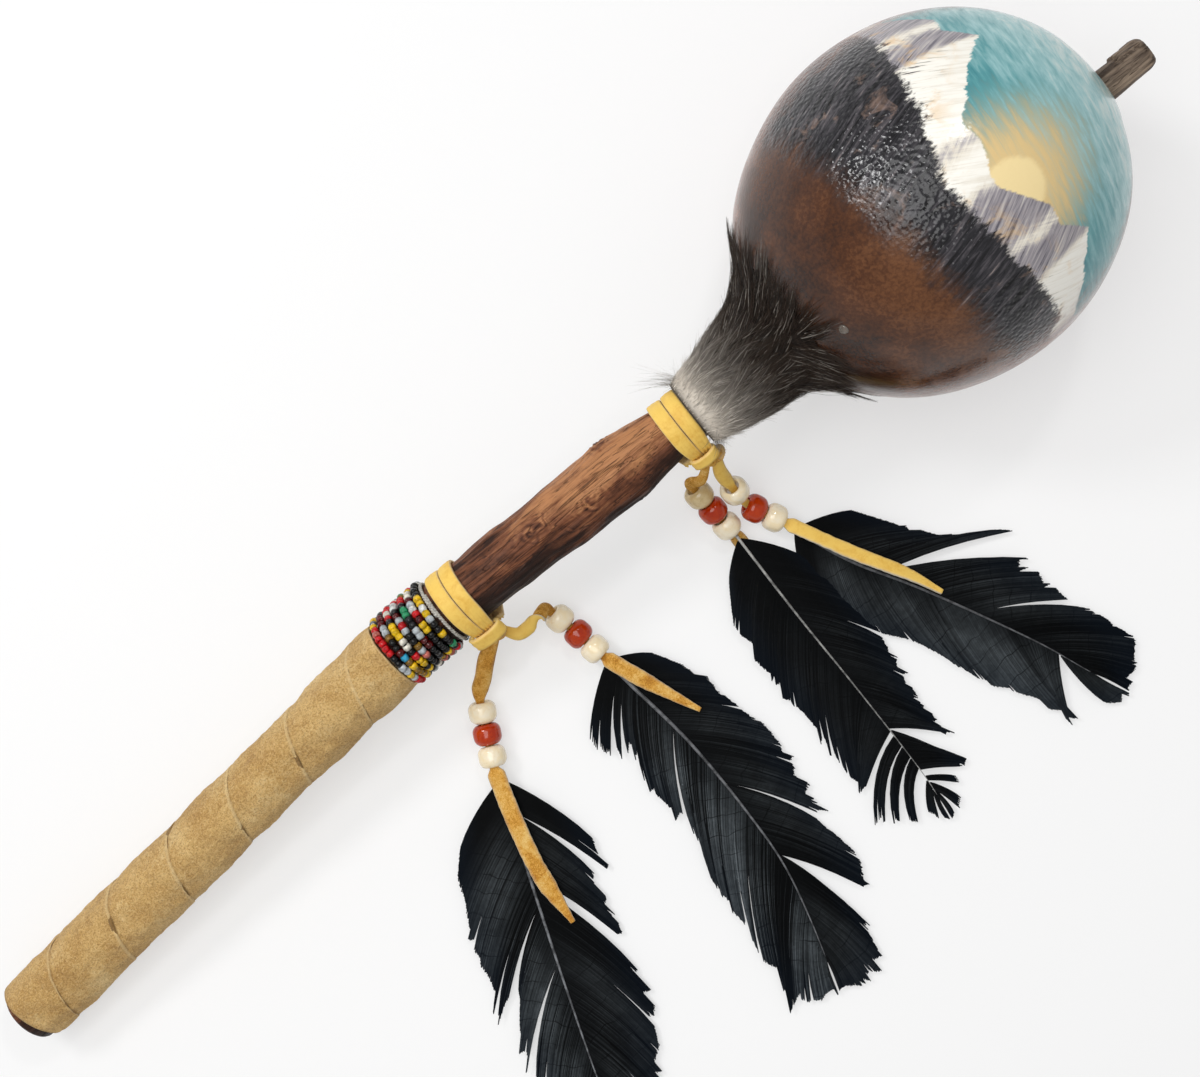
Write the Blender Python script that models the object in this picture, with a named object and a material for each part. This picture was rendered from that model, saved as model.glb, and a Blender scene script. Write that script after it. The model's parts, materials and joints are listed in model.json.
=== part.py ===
"""Gourd rattle lying on a table.

A hollow gourd with loose seeds sits on a bent branch that runs right through it. The branch
carries a wound suede grip, a seed bead winding and two lace ties with four feather tassels.
Metres, +Z up, +X towards the gourd, the table at z = 0.
"""

import math

import bmesh
import bpy
import numpy as np
from mathutils import Matrix, Vector

# Clearances
FIT_GAP = 0.0004
PIECE_GAP = 0.0003

# Strand of seed beads wound above the grip
STRAND_TURNS = 7
STRAND_ROW_GAP = 0.00025
STRAND_BEADS_PER_TURN = 28
STRAND_FIRST_BEAD = 200.0
STRAND_SIDES = 5
STRAND_WAIST_RADIUS = 0.0007
SEED_BEAD_RADIUS = 0.0012
STRAND_PITCH = 2.0 * SEED_BEAD_RADIUS + STRAND_ROW_GAP

# Lace ties round the branch
TIE_TURNS = 2
TIE_WIDTH = 0.0042
TIE_TURN_GAP = 0.0007
TIE_THICKNESS = 0.0010
TIE_CROSSING = 138.0
TIE_STEPS = 24
TIE_PITCH = TIE_WIDTH + TIE_TURN_GAP
TIE_HALF_SPAN = 0.5 * ((TIE_TURNS - 1) * TIE_PITCH + TIE_WIDTH)

# Lengths along the branch, from the butt to the tip
GRIP_LENGTH = 0.1635
LOWER_TIE_GAP = 0.0012
TIE_SPACING = 0.0835
NECK_GAP = 0.00195
BODY_FROM_NECK = 0.0900
CROWN_LENGTH = 0.0572
TIP_LENGTH = 0.0160

# Places along the branch, measured from the butt
STRAND_AT = GRIP_LENGTH
STRAND_END = STRAND_AT + STRAND_PITCH * STRAND_TURNS + SEED_BEAD_RADIUS
LOWER_TIE_AT = STRAND_END + LOWER_TIE_GAP + TIE_HALF_SPAN
UPPER_TIE_AT = LOWER_TIE_AT + TIE_SPACING
NECK_AT = UPPER_TIE_AT + TIE_HALF_SPAN + NECK_GAP
GOURD_AT = NECK_AT + BODY_FROM_NECK
CROWN_AT = GOURD_AT + CROWN_LENGTH
STICK_LENGTH = CROWN_AT + TIP_LENGTH

# Branch
BUTT_RADIUS = 0.0094
GRIP_RADIUS = 0.0088
BEAD_SEAT_RADIUS = 0.0094
SWELL_RADIUS = 0.0101
TIE_SEAT_RADIUS = 0.0079
CROWN_SEAT_RADIUS = 0.0049
TIP_RADIUS = 0.0046
GRIP_WAIST_AT = 0.115
SWELL_AT = UPPER_TIE_AT - 0.0245
HANDLE_BEND = 6.1
BEND_LENGTH = 0.042
BEND_START = GRIP_LENGTH - 0.0135
END_CHAMFER = 0.0010
STICK_SIDES = 16
STICK_STEP = 0.0105

# Twig scars: distance below the upper tie, degrees round the branch, height, spread
TWIG_SCARS = (
    (0.0535, 80.0, 0.0005, 0.0060),
    (0.0335, 95.0, 0.0004, 0.0045),
    (0.0225, 10.0, 0.0007, 0.0050),
    (0.0200, 185.0, 0.0006, 0.0045),
)

# Suede strip wound on the handle
WRAP_START = 0.0025
WRAP_PITCH = 0.0262
WRAP_THICKNESS = 0.0018
WRAP_EDGE_THICKNESS = 0.0012
WRAP_TURN_GAP = 0.0006
WRAP_END_TRIM = 0.08
WRAP_FIRST_EDGE = 290.0
WRAP_STEPS = 20

# Knots at the side of the ties, with each section's share of the length, width and depth
KNOT_DROP = 22.0
KNOT_LEAN = 0.9
KNOT_LENGTH = 0.0085
KNOT_WIDTH = 0.0082
KNOT_DEPTH = 0.0044
KNOT_STANDOFF = 0.0012
KNOT_SIDES = 12
KNOT_SECTIONS = (
    (-0.50, 0.62, 0.45),
    (-0.30, 0.90, 0.85),
    (-0.26, 1.00, 1.00),
    (0.14, 1.00, 1.00),
    (0.18, 0.90, 0.78),
    (0.50, 0.70, 0.40),
)

# Gourd shell
GOURD_RADIUS = 0.0530
SHOULDER_LENGTH = 0.0600
GOURD_OFFSET = 0.0044
GOURD_WALL = 0.0040
NECK_LENGTH = 0.0320
NECK_SEAT = 0.0095
NECK_LIP_WALL = 0.0017
NECK_FLARE = 0.0065
NECK_BLEND = 0.0080
NECK_MOUTH_RADIUS = TIE_SEAT_RADIUS + FIT_GAP + NECK_LIP_WALL
NECK_ROOT_RADIUS = NECK_MOUTH_RADIUS + NECK_FLARE
CROWN_BLEND_RADIUS = 0.0200
OFFSET_FULL_AT = 0.75
GOURD_SIDES = 28
NECK_RINGS = 6
SHOULDER_RINGS = 6
CROWN_RINGS = 6
SHOULDER_START = 35.0
CROWN_STOP = 166.0

# Fur sleeve on the neck
FUR_DEPTH = 0.0036
FUR_EDGE_DEPTH = 0.0016
FUR_RINGS = NECK_RINGS + 1

# Loose seeds in the gourd
SEED_COUNT = 8
SEED_SIZE = 0.0034
SEED_FLATNESS = 0.78
SEED_UNEVENNESS = 0.12
SEED_DENT = 0.08
SEED_SPACING = 0.0042
SEED_CLEARANCE = 0.0006
SEED_SCATTER = 15.0

# Lace tassels
LACE_WIDTH = 0.0048
LACE_THICKNESS = 0.0011
LACE_IN_KNOT_WIDTH = 0.0026
LACE_TIP_WIDTH = 0.0018
LACE_TIP_TAPER = 0.0090
LACE_FLARE = 0.0050
LACE_KNOT_FLARE = 0.0110
LACE_PAIR_GAP = 0.0014
LACE_EXIT_SPREAD = 0.5 * (LACE_IN_KNOT_WIDTH + LACE_PAIR_GAP)
LACE_PIVOT_DEPTH = 0.0006
LACE_LEAD = 0.0028
LACE_GAP = 0.0010
LACE_STEP = 0.0028

# Glass beads on the laces, with the profile's share of the radius and of half the length
BEAD_RADIUS = 0.0045
BEAD_LENGTH = 0.0066
BEAD_BORE_RADIUS = 0.0023
BEAD_SIDES = 12
BEAD_GAP = 0.0005
BEAD_BORE_LIP = 0.94
BEAD_PROFILE = ((0.72, 1.0), (0.94, 0.70), (1.0, 0.22))

# Feathers, whose quill shares the last bead's bore with the lace
QUILL_RADIUS = 0.00075
QUILL_GAP = 0.0004
QUILL_INSET = QUILL_RADIUS + 0.5 * QUILL_GAP
QUILL_IN_BEAD = 0.35
QUILL_PAST_BEAD = 0.10
QUILL_TIP_SHARE = 0.35
LACE_INSET = 0.5 * (LACE_THICKNESS + QUILL_GAP)
BORE_CLEARANCE = 0.00055
BARB_ANGLE = 42.0
BARE_QUILL = 0.045
VANE_RISE = 0.16
VANE_ROUND_FROM = 0.62
VANE_TIP = 0.12
VANE_EDGE_THICKNESS = 0.0005
VANE_DROP = 0.0020
VANE_STATIONS = 26
SPLIT_HALF_WIDTH = 0.012

# Each tassel: its tie, the side of the knot it leaves by, the lace's route from the knot to
# its tip and the feather's rachis from the last bead to its tip, in millimetres. Points are
# measured on the table from below the tie, with heights above the table, and first_bead and
# last_bead are the lace's points that those beads sit on. The points past the first bead are
# chosen for one bead step, and move on with longer beads. A split is a share of the rachis and
# how deep it cuts into the vane.
CHOSEN_BEAD_STEP = 0.0071
TASSELS = {
    "upper_left": {
        "tie": "upper",
        "side": -1,
        "lace": (
            (-4.0, -17.2, 25.0), (-6.4, -16.2, 18.7), (-6.9, -16.6, 14.3), (-6.5, -20.6, 10.9),
            (-6.0, -26.8, 8.1), (-5.5, -33.0, 5.4), (-4.9, -38.6, 2.7), (-4.4, -47.6, 1.0),
            (-4.0, -61.6, 0.8), (-3.6, -79.6, 0.8),
        ),
        "first_bead": 3,
        "last_bead": 5,
        "first_gap": 0.0,
        "lace_on_top": False,
        "rachis": (
            (-5.0, -39.7, 4.6), (-5.3, -69.0, 3.4), (-4.9, -100.5, 2.9), (-5.1, -132.5, 2.5),
            (-6.6, -147.0, 2.2),
        ),
        "left_width": 17.5,
        "right_width": 26.0,
        "left_splits": ((0.74, 0.85),),
        "right_splits": ((0.80, 0.45),),
    },
    "upper_right": {
        "tie": "upper",
        "side": 1,
        "lace": (
            (2.0, -19.0, 26.0), (2.3, -22.6, 20.5), (2.7, -26.3, 14.8), (3.2, -30.0, 10.0),
            (3.9, -33.0, 7.1), (5.4, -36.0, 6.1), (8.6, -42.2, 5.1), (11.7, -48.2, 5.4),
            (20.1, -64.2, 5.6), (29.5, -80.2, 5.2), (34.6, -91.6, 4.9),
        ),
        "first_bead": 2,
        "last_bead": 6,
        "first_gap": 0.0053,
        "lace_on_top": True,
        "rachis": (
            (10.9, -48.2, 3.9), (18.4, -66.5, 3.4), (30.9, -88.0, 3.0), (48.3, -122.0, 2.7),
            (56.9, -142.3, 2.4), (63.5, -150.5, 2.2),
        ),
        "left_width": 25.5,
        "right_width": 25.0,
        "left_splits": ((0.36, 0.85), (0.52, 0.30)),
        "right_splits": ((0.78, 0.80),),
    },
    "lower_right": {
        "tie": "lower",
        "side": 1,
        "lace": (
            (6.4, -19.6, 20.2), (11.6, -19.8, 18.6), (15.4, -19.2, 14.5), (17.0, -19.0, 10.0),
            (17.6, -20.2, 7.4), (18.5, -24.0, 5.6), (20.0, -31.2, 4.9), (21.2, -38.0, 4.8),
            (22.4, -43.0, 5.2), (25.8, -51.9, 5.4), (30.0, -61.6, 5.1), (35.3, -73.6, 4.5),
        ),
        "first_bead": 5,
        "last_bead": 7,
        "first_gap": 0.0004,
        "lace_on_top": True,
        "rachis": (
            (21.9, -44.0, 3.9), (23.0, -54.0, 3.6), (26.3, -79.8, 3.2), (26.9, -108.4, 2.9),
            (25.2, -131.7, 2.7), (17.6, -160.6, 2.4), (12.2, -170.8, 2.2),
        ),
        "left_width": 30.0,
        "right_width": 28.0,
        "left_splits": ((0.60, 0.80),),
        "right_splits": ((0.14, 0.35), (0.30, 0.25), (0.45, 0.30)),
    },
    "lower_left": {
        "tie": "lower",
        "side": -1,
        "lace": (
            (-6.2, -19.4, 18.4), (-11.4, -23.6, 11.6), (-14.6, -25.8, 7.8), (-16.6, -28.0, 5.9),
            (-18.7, -32.0, 4.9), (-21.9, -38.5, 4.7), (-25.0, -44.9, 4.7), (-27.4, -50.4, 5.3),
            (-32.0, -66.0, 5.5), (-35.8, -83.2, 5.1), (-37.1, -101.1, 4.6),
        ),
        "first_bead": 4,
        "last_bead": 6,
        "first_gap": 0.0,
        "lace_on_top": True,
        "rachis": (
            (-27.6, -52.6, 3.9), (-38.6, -80.0, 3.3), (-50.5, -112.0, 2.9), (-62.0, -145.0, 2.6),
            (-69.0, -168.0, 2.2),
        ),
        "left_width": 29.5,
        "right_width": 29.0,
        "left_splits": ((0.40, 0.35), (0.62, 0.25)),
        "right_splits": ((0.42, 0.45), (0.66, 0.25)),
    },
}
MM = 0.001
SHARP_ANGLE = 35.0

# Surface colours as sRGB hex, with roughness
FINISHES = {
    "gourd_paint": ("B98A5E", 0.35),
    "branch_bark": ("7A4630", 0.55),
    "fur": ("3A302B", 0.90),
    "suede": ("BE965F", 0.95),
    "seed_bead_glass": ("8C5A48", 0.20),
    "yellow_leather": ("D9A441", 0.60),
    "cream_glass": ("E3D5AE", 0.25),
    "red_glass": ("B23A26", 0.25),
    "black_feather": ("1D2026", 0.60),
    "seed": ("8A6A45", 0.70),
}


def clear_scene():
    for obj in list(bpy.data.objects):
        bpy.data.objects.remove(obj, do_unlink=True)


def linear(channel):
    if channel <= 0.04045:
        return channel / 12.92
    return ((channel + 0.055) / 1.055) ** 2.4


def make_material(name):
    hex_colour, roughness = FINISHES[name]
    channels = [int(hex_colour[i:i + 2], 16) / 255.0 for i in (0, 2, 4)]
    material = bpy.data.materials.new(name)
    material.use_nodes = True
    shader = material.node_tree.nodes["Principled BSDF"]
    shader.inputs["Base Color"].default_value = (*[linear(c) for c in channels], 1.0)
    shader.inputs["Roughness"].default_value = roughness
    shader.inputs["Metallic"].default_value = 0.0
    return material


def ramp(t):
    t = min(max(t, 0.0), 1.0)
    return t * t * (3.0 - 2.0 * t)


def smooth_max(a, b, blend):
    h = min(max(0.5 + 0.5 * (a - b) / blend, 0.0), 1.0)
    return b + (a - b) * h + blend * h * (1.0 - h)


def loft_mesh(name, rings, ring_to_ring_loop=False):
    """Skin a row of rings with equal point counts, with flat ends or closed on itself."""
    bm = bmesh.new()
    loops = [[bm.verts.new(point) for point in ring] for ring in rings]
    count = len(loops[0])
    spans = len(loops) if ring_to_ring_loop else len(loops) - 1
    for i in range(spans):
        near = loops[i]
        far = loops[(i + 1) % len(loops)]
        for k in range(count):
            after = (k + 1) % count
            bm.faces.new((near[k], near[after], far[after], far[k]))
    if not ring_to_ring_loop:
        bm.faces.new(loops[0])
        bm.faces.new(loops[-1])
    bmesh.ops.recalc_face_normals(bm, faces=bm.faces)
    mesh = bpy.data.meshes.new(name)
    bm.to_mesh(mesh)
    bm.free()
    mesh.shade_smooth()
    mesh.set_sharp_from_angle(angle=math.radians(SHARP_ANGLE))
    return mesh


def add_object(name, mesh, material, parent):
    if not mesh.materials:
        mesh.materials.append(material)
    obj = bpy.data.objects.new(name, mesh)
    bpy.context.collection.objects.link(obj)
    obj.parent = parent
    return obj


def add_empty(name, location):
    empty = bpy.data.objects.new(name, None)
    bpy.context.collection.objects.link(empty)
    empty.location = location
    return empty


def least_gap(rings, apart):
    """Least distance between points whose rings lie at least so many rings apart."""
    points = np.array([[tuple(point) for point in ring] for ring in rings])
    gap = math.inf
    for i in range(len(points) - apart):
        others = points[i + apart:].reshape(-1, 3)
        for point in points[i]:
            gap = min(gap, float(np.linalg.norm(others - point, axis=1).min()))
    return gap


# Branch

def heading(at):
    """Angle of the branch from +X in its own plane: the handle is bent to one side."""
    return math.radians(HANDLE_BEND) * (1.0 - ramp((at - BEND_START) / BEND_LENGTH))


def branch_centres(step=0.0005):
    centres = [Vector((0.0, 0.0, 0.0))]
    for i in range(math.ceil(STICK_LENGTH / step) + 1):
        angle = heading((i + 0.5) * step)
        centres.append(centres[-1] + Vector((math.cos(angle), math.sin(angle), 0.0)) * step)
    return centres, step


CENTRES, CENTRE_STEP = branch_centres()


def centre(at):
    place = min(max(at / CENTRE_STEP, 0.0), len(CENTRES) - 1.001)
    i = int(place)
    return CENTRES[i].lerp(CENTRES[i + 1], place - i)


def skin_point(at, degrees, radius):
    """Point beside the branch: 0 degrees is its +Y side, 90 its top and 180 its -Y side."""
    angle = heading(at)
    side = Vector((-math.sin(angle), math.cos(angle), 0.0))
    turn = math.radians(degrees)
    return centre(at) + side * (radius * math.cos(turn)) + Vector((0, 0, radius * math.sin(turn)))


def stick_radius(at):
    stations = (
        (0.0, BUTT_RADIUS),
        (GRIP_WAIST_AT, GRIP_RADIUS),
        (STRAND_AT, BEAD_SEAT_RADIUS),
        (LOWER_TIE_AT, BEAD_SEAT_RADIUS),
        (SWELL_AT, SWELL_RADIUS),
        (UPPER_TIE_AT, TIE_SEAT_RADIUS),
        (CROWN_AT, CROWN_SEAT_RADIUS),
        (STICK_LENGTH, TIP_RADIUS),
    )
    for (start, near), (stop, far) in zip(stations, stations[1:]):
        if at <= stop:
            return near + (far - near) * ramp((at - start) / (stop - start))
    return TIP_RADIUS


def scar_height(at, degrees):
    height = 0.0
    for below_tie, direction, rise, spread in TWIG_SCARS:
        place = UPPER_TIE_AT - below_tie
        across = math.radians((degrees - direction + 180.0) % 360.0 - 180.0) * stick_radius(at)
        height += rise * math.exp(-((at - place) ** 2 + across ** 2) / (spread ** 2))
    return height


def make_stick(parent, material):
    steps = round(STICK_LENGTH / STICK_STEP)
    stops = [STICK_LENGTH * i / steps for i in range(steps + 1)]
    stops += [END_CHAMFER, STICK_LENGTH - END_CHAMFER]
    rings = []
    for at in sorted(stops):
        trim = END_CHAMFER if at in (0.0, STICK_LENGTH) else 0.0
        ring = []
        for k in range(STICK_SIDES):
            degrees = 360.0 * k / STICK_SIDES
            radius = stick_radius(at) - trim + scar_height(at, degrees)
            ring.append(skin_point(at, degrees, radius))
        rings.append(ring)
    return add_object("stick", loft_mesh("stick", rings), material, parent)


# Windings on the branch

def make_handle_wrap(parent, material):
    """One suede strip from the butt to the beads, its two ends trimmed square."""
    stop = STRAND_AT - SEED_BEAD_RADIUS - PIECE_GAP
    turns = (stop - WRAP_START) / WRAP_PITCH + 1.0
    first = math.ceil(WRAP_END_TRIM * WRAP_STEPS)
    last = math.floor((turns - WRAP_END_TRIM) * WRAP_STEPS)
    rings = []
    for i in range(first, last + 1):
        turn = i / WRAP_STEPS
        low = max(WRAP_START, WRAP_START + WRAP_PITCH * (turn - 1.0))
        high = min(stop, WRAP_START + WRAP_PITCH * turn - WRAP_TURN_GAP)
        degrees = WRAP_FIRST_EDGE - 360.0 * turn
        inner = (stick_radius(low) + FIT_GAP, stick_radius(high) + FIT_GAP)
        middle = 0.5 * (low + high)
        crown = stick_radius(middle) + FIT_GAP + WRAP_THICKNESS
        rings.append([
            skin_point(low, degrees, inner[0]),
            skin_point(high, degrees, inner[1]),
            skin_point(high, degrees, inner[1] + WRAP_EDGE_THICKNESS),
            skin_point(middle, degrees, crown),
            skin_point(low, degrees, inner[0] + WRAP_EDGE_THICKNESS),
        ])
    print(f"handle_wrap least gap {least_gap(rings, WRAP_STEPS // 2) / MM:.2f} mm")
    return add_object("handle_wrap", loft_mesh("handle_wrap", rings), material, parent)


def make_bead_wrap(parent, material):
    """Strand of seed beads: each bead is a waist and a belly of one winding tube."""
    rings_per_turn = 2 * STRAND_BEADS_PER_TURN
    count = STRAND_TURNS * rings_per_turn
    rings = []
    for i in range(count + 1):
        turn = i / rings_per_turn
        at = STRAND_AT + STRAND_PITCH * turn
        degrees = STRAND_FIRST_BEAD - 360.0 * turn
        reach = stick_radius(at) + FIT_GAP + SEED_BEAD_RADIUS
        section = SEED_BEAD_RADIUS if i % 2 else STRAND_WAIST_RADIUS
        ring = []
        for k in range(STRAND_SIDES):
            angle = 2.0 * math.pi * (k + 0.5) / STRAND_SIDES
            along = section * math.cos(angle)
            out = section * math.sin(angle)
            ring.append(skin_point(at + along, degrees, reach + out))
        rings.append(ring)
    print(f"bead_wrap least gap {least_gap(rings, rings_per_turn // 2) / MM:.2f} mm")
    return add_object("bead_wrap", loft_mesh("bead_wrap", rings), material, parent)


def make_tie_band(name, tie_at, first_side, parent, material):
    """Flat lace laid round the branch in square turns, which step sideways below it."""
    start = 0.5 * (TIE_TURNS + 1)
    count = TIE_TURNS * TIE_STEPS
    rings = []
    for i in range(count + 1):
        turn = i / TIE_STEPS
        crossed = math.floor(turn) + ramp((turn % 1.0) * 360.0 / TIE_CROSSING)
        middle = tie_at + first_side * TIE_PITCH * (start - crossed)
        degrees = 180.0 + KNOT_DROP + 360.0 * turn
        low = middle - 0.5 * TIE_WIDTH
        high = middle + 0.5 * TIE_WIDTH
        inner = (stick_radius(low) + FIT_GAP, stick_radius(high) + FIT_GAP)
        rings.append([
            skin_point(low, degrees, inner[0]),
            skin_point(high, degrees, inner[1]),
            skin_point(high, degrees, inner[1] + TIE_THICKNESS),
            skin_point(low, degrees, inner[0] + TIE_THICKNESS),
        ])
    print(f"{name} least gap {least_gap(rings, TIE_STEPS // 2) / MM:.2f} mm")
    return add_object(name, loft_mesh(name, rings), material, parent)


def knot_frame(tie_at):
    """Middle of a knot, its length direction and its depth direction."""
    band_radius = max(stick_radius(tie_at + side * TIE_PITCH) for side in (-1, 1))
    band_radius += FIT_GAP + TIE_THICKNESS
    degrees = 180.0 + KNOT_DROP
    reach = band_radius + KNOT_STANDOFF + 0.5 * KNOT_DEPTH
    outward = (skin_point(tie_at, degrees, 1.0) - centre(tie_at)).normalized()
    along_band = (skin_point(tie_at, degrees + 90.0, 1.0) - centre(tie_at)).normalized()
    length_axis = (along_band + outward * KNOT_LEAN).normalized()
    width_axis = outward.cross(along_band).normalized()
    return skin_point(tie_at, degrees, reach), length_axis, width_axis


def make_tie_knot(name, tie_at, parent, material):
    """The two lace ends gathered and bound by one raised keeper turn."""
    middle, length_axis, width_axis = knot_frame(tie_at)
    depth_axis = length_axis.cross(width_axis)
    rings = []
    for share, width, depth in KNOT_SECTIONS:
        ring = []
        for k in range(KNOT_SIDES):
            angle = 2.0 * math.pi * k / KNOT_SIDES
            across = width_axis * (0.5 * KNOT_WIDTH * width * math.cos(angle))
            deep = depth_axis * (0.5 * KNOT_DEPTH * depth * math.sin(angle))
            ring.append(middle + length_axis * (KNOT_LENGTH * share) + across + deep)
        rings.append(ring)
    return add_object(name, loft_mesh(name, rings), material, parent)


# Gourd, its fur sleeve and its seeds

def gourd_radius(at, inset=0.0):
    """Outer radius of the gourd, or of a surface the inset below it."""
    along = at - GOURD_AT
    half = (CROWN_LENGTH if along > 0.0 else SHOULDER_LENGTH) - inset
    body = (GOURD_RADIUS - inset) * math.sqrt(max(0.0, 1.0 - (along / half) ** 2))
    if along > 0.0:
        return body
    taper = min(max((at - NECK_AT) / NECK_LENGTH, 0.0), 1.0)
    neck = NECK_MOUTH_RADIUS + (NECK_ROOT_RADIUS - NECK_MOUTH_RADIUS) * taper - inset
    return smooth_max(body, neck, NECK_BLEND)


def gourd_shift(at):
    """The body of the gourd lies to one side of the branch, its neck does not."""
    seat_end = NECK_AT + NECK_SEAT
    body_start = GOURD_AT - OFFSET_FULL_AT * SHOULDER_LENGTH
    return GOURD_OFFSET * ramp((at - seat_end) / (body_start - seat_end))


def gourd_stations(inset=0.0):
    """Places of the rings from the neck's mouth to the crown."""
    shoulder = SHOULDER_LENGTH - inset
    crown = CROWN_LENGTH - inset
    shoulder_start = GOURD_AT - shoulder * math.cos(math.radians(SHOULDER_START))
    stops = [NECK_AT + (shoulder_start - NECK_AT) * i / NECK_RINGS for i in range(NECK_RINGS)]
    for i in range(SHOULDER_RINGS):
        angle = SHOULDER_START + (90.0 - SHOULDER_START) * i / SHOULDER_RINGS
        stops.append(GOURD_AT - shoulder * math.cos(math.radians(angle)))
    for i in range(CROWN_RINGS + 1):
        angle = 90.0 + (CROWN_STOP - 90.0) * i / CROWN_RINGS
        stops.append(GOURD_AT - crown * math.cos(math.radians(angle)))
    return stops


def gourd_ring(at, radius, shift):
    middle = centre(at) + Vector((0.0, shift, 0.0))
    ring = []
    for k in range(GOURD_SIDES):
        angle = 2.0 * math.pi * (k + 0.5) / GOURD_SIDES
        ring.append(middle + Vector((0.0, radius * math.cos(angle), radius * math.sin(angle))))
    return ring


def gourd_wall(inset):
    """Rings of one wall, ending in the hole that the branch leaves by."""
    rings = []
    for at in gourd_stations(inset):
        bore = stick_radius(at) + FIT_GAP
        radius = max(bore, gourd_radius(at, inset))
        shift = gourd_shift(at)
        if at > GOURD_AT:
            shift *= ramp((radius - bore) / (CROWN_BLEND_RADIUS - bore))
        rings.append(gourd_ring(at, radius, shift))
    crown = CROWN_AT - inset
    rings.append(gourd_ring(crown, stick_radius(crown) + FIT_GAP, 0.0))
    return rings


def make_gourd_shell(parent, material):
    rings = gourd_wall(0.0) + gourd_wall(GOURD_WALL)[::-1]
    mesh = loft_mesh("gourd_shell", rings, ring_to_ring_loop=True)
    return add_object("gourd_shell", mesh, material, parent)


def make_fur_collar(parent, material):
    stops = gourd_stations()[:FUR_RINGS]
    stops[0] += PIECE_GAP
    inner = []
    outer = []
    for i, at in enumerate(stops):
        radius = gourd_radius(at) + FIT_GAP
        swell = math.sin(math.pi * i / (len(stops) - 1))
        depth = FUR_EDGE_DEPTH + (FUR_DEPTH - FUR_EDGE_DEPTH) * swell
        inner.append(gourd_ring(at, radius, gourd_shift(at)))
        outer.append(gourd_ring(at, radius + depth, gourd_shift(at)))
    mesh = loft_mesh("fur_collar", outer + inner[::-1], ring_to_ring_loop=True)
    return add_object("fur_collar", mesh, material, parent)


def lowest_inside(tilt):
    """Place along the branch where the tilted gourd's inner wall is lowest."""
    half = SHOULDER_LENGTH - GOURD_WALL
    radius = GOURD_RADIUS - GOURD_WALL
    reach = math.hypot(half * math.sin(tilt), radius * math.cos(tilt))
    return GOURD_AT - half * half * math.sin(tilt) / reach


def make_seeds(base, tilt, material):
    """Seeds on the inner wall, each at its own place along the gourd's axis."""
    first = lowest_inside(tilt) - 0.5 * (SEED_COUNT - 1) * SEED_SPACING
    for i in range(SEED_COUNT):
        at = first + i * SEED_SPACING
        axis_point = centre(at) + Vector((0.0, GOURD_OFFSET, 0.0))
        angle = math.radians(270.0 + SEED_SCATTER * math.sin(2.4 * i + 1.0))
        flat = SEED_FLATNESS + SEED_UNEVENNESS * math.sin(1.7 * i)
        reach = gourd_radius(at, GOURD_WALL) - SEED_CLEARANCE - 0.5 * SEED_SIZE
        bm = bmesh.new()
        bmesh.ops.create_icosphere(bm, subdivisions=2, radius=0.5 * SEED_SIZE)
        for vert in bm.verts:
            dent = 1.0 - SEED_DENT * math.sin(3.0 * vert.co.x / SEED_SIZE * math.pi + i)
            vert.co = Vector((vert.co.x * dent, vert.co.y, vert.co.z * flat))
        bmesh.ops.rotate(bm, verts=bm.verts, cent=(0, 0, 0),
                         matrix=Matrix.Rotation(angle - math.radians(270.0), 3, "X"))
        out = Vector((0.0, math.cos(angle), math.sin(angle)))
        bmesh.ops.translate(bm, verts=bm.verts, vec=out * reach)
        mesh = bpy.data.meshes.new(f"seed_{i + 1}")
        bm.to_mesh(mesh)
        bm.free()
        mesh.shade_smooth()
        seed = add_object(f"seed_{i + 1}", mesh, material, base)
        seed.location = axis_point


# Tassels

class Route:
    """Smooth curve through chosen points, read by distance from its start."""

    def __init__(self, points, per_span=16):
        self.per_span = per_span
        ends = [points[0] * 2.0 - points[1], *points, points[-1] * 2.0 - points[-2]]
        self.points = [points[0].copy()]
        for before, near, far, after in zip(ends, ends[1:], ends[2:], ends[3:]):
            for i in range(1, per_span + 1):
                t = i / per_span
                bend = near * 2.0 + (far - before) * t
                bend += (before * 2.0 - near * 5.0 + far * 4.0 - after) * (t * t)
                bend += (near * 3.0 - before - far * 3.0 + after) * (t ** 3)
                self.points.append(bend * 0.5)
        self.reach = [0.0]
        for near, far in zip(self.points, self.points[1:]):
            self.reach.append(self.reach[-1] + (far - near).length)
        self.length = self.reach[-1]

    def at(self, distance):
        distance = min(max(distance, 0.0), self.length)
        i = min(int(np.searchsorted(self.reach, distance)), len(self.reach) - 1)
        i = max(i, 1)
        span = self.reach[i] - self.reach[i - 1]
        return self.points[i - 1].lerp(self.points[i], (distance - self.reach[i - 1]) / span)

    def to_point(self, index):
        return self.reach[index * self.per_span]

    def direction(self, distance):
        return (self.at(distance + 0.0008) - self.at(distance - 0.0008)).normalized()


def carried_normals(directions):
    """Normals that start upright at the far end and turn no more than the route does."""
    normals = []
    normal = Vector((0.0, 0.0, 1.0))
    for direction in reversed(directions):
        normal = (normal - direction * normal.dot(direction)).normalized()
        normals.append(normal)
    return normals[::-1]


def lace_in_bead_width():
    """Width at which the lace's corners clear a bore that it shares with a quill."""
    free_radius = BEAD_BORE_RADIUS * math.cos(math.pi / BEAD_SIDES) - BORE_CLEARANCE
    rise = LACE_INSET + 0.5 * LACE_THICKNESS
    return 2.0 * math.sqrt(free_radius ** 2 - rise ** 2)


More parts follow.
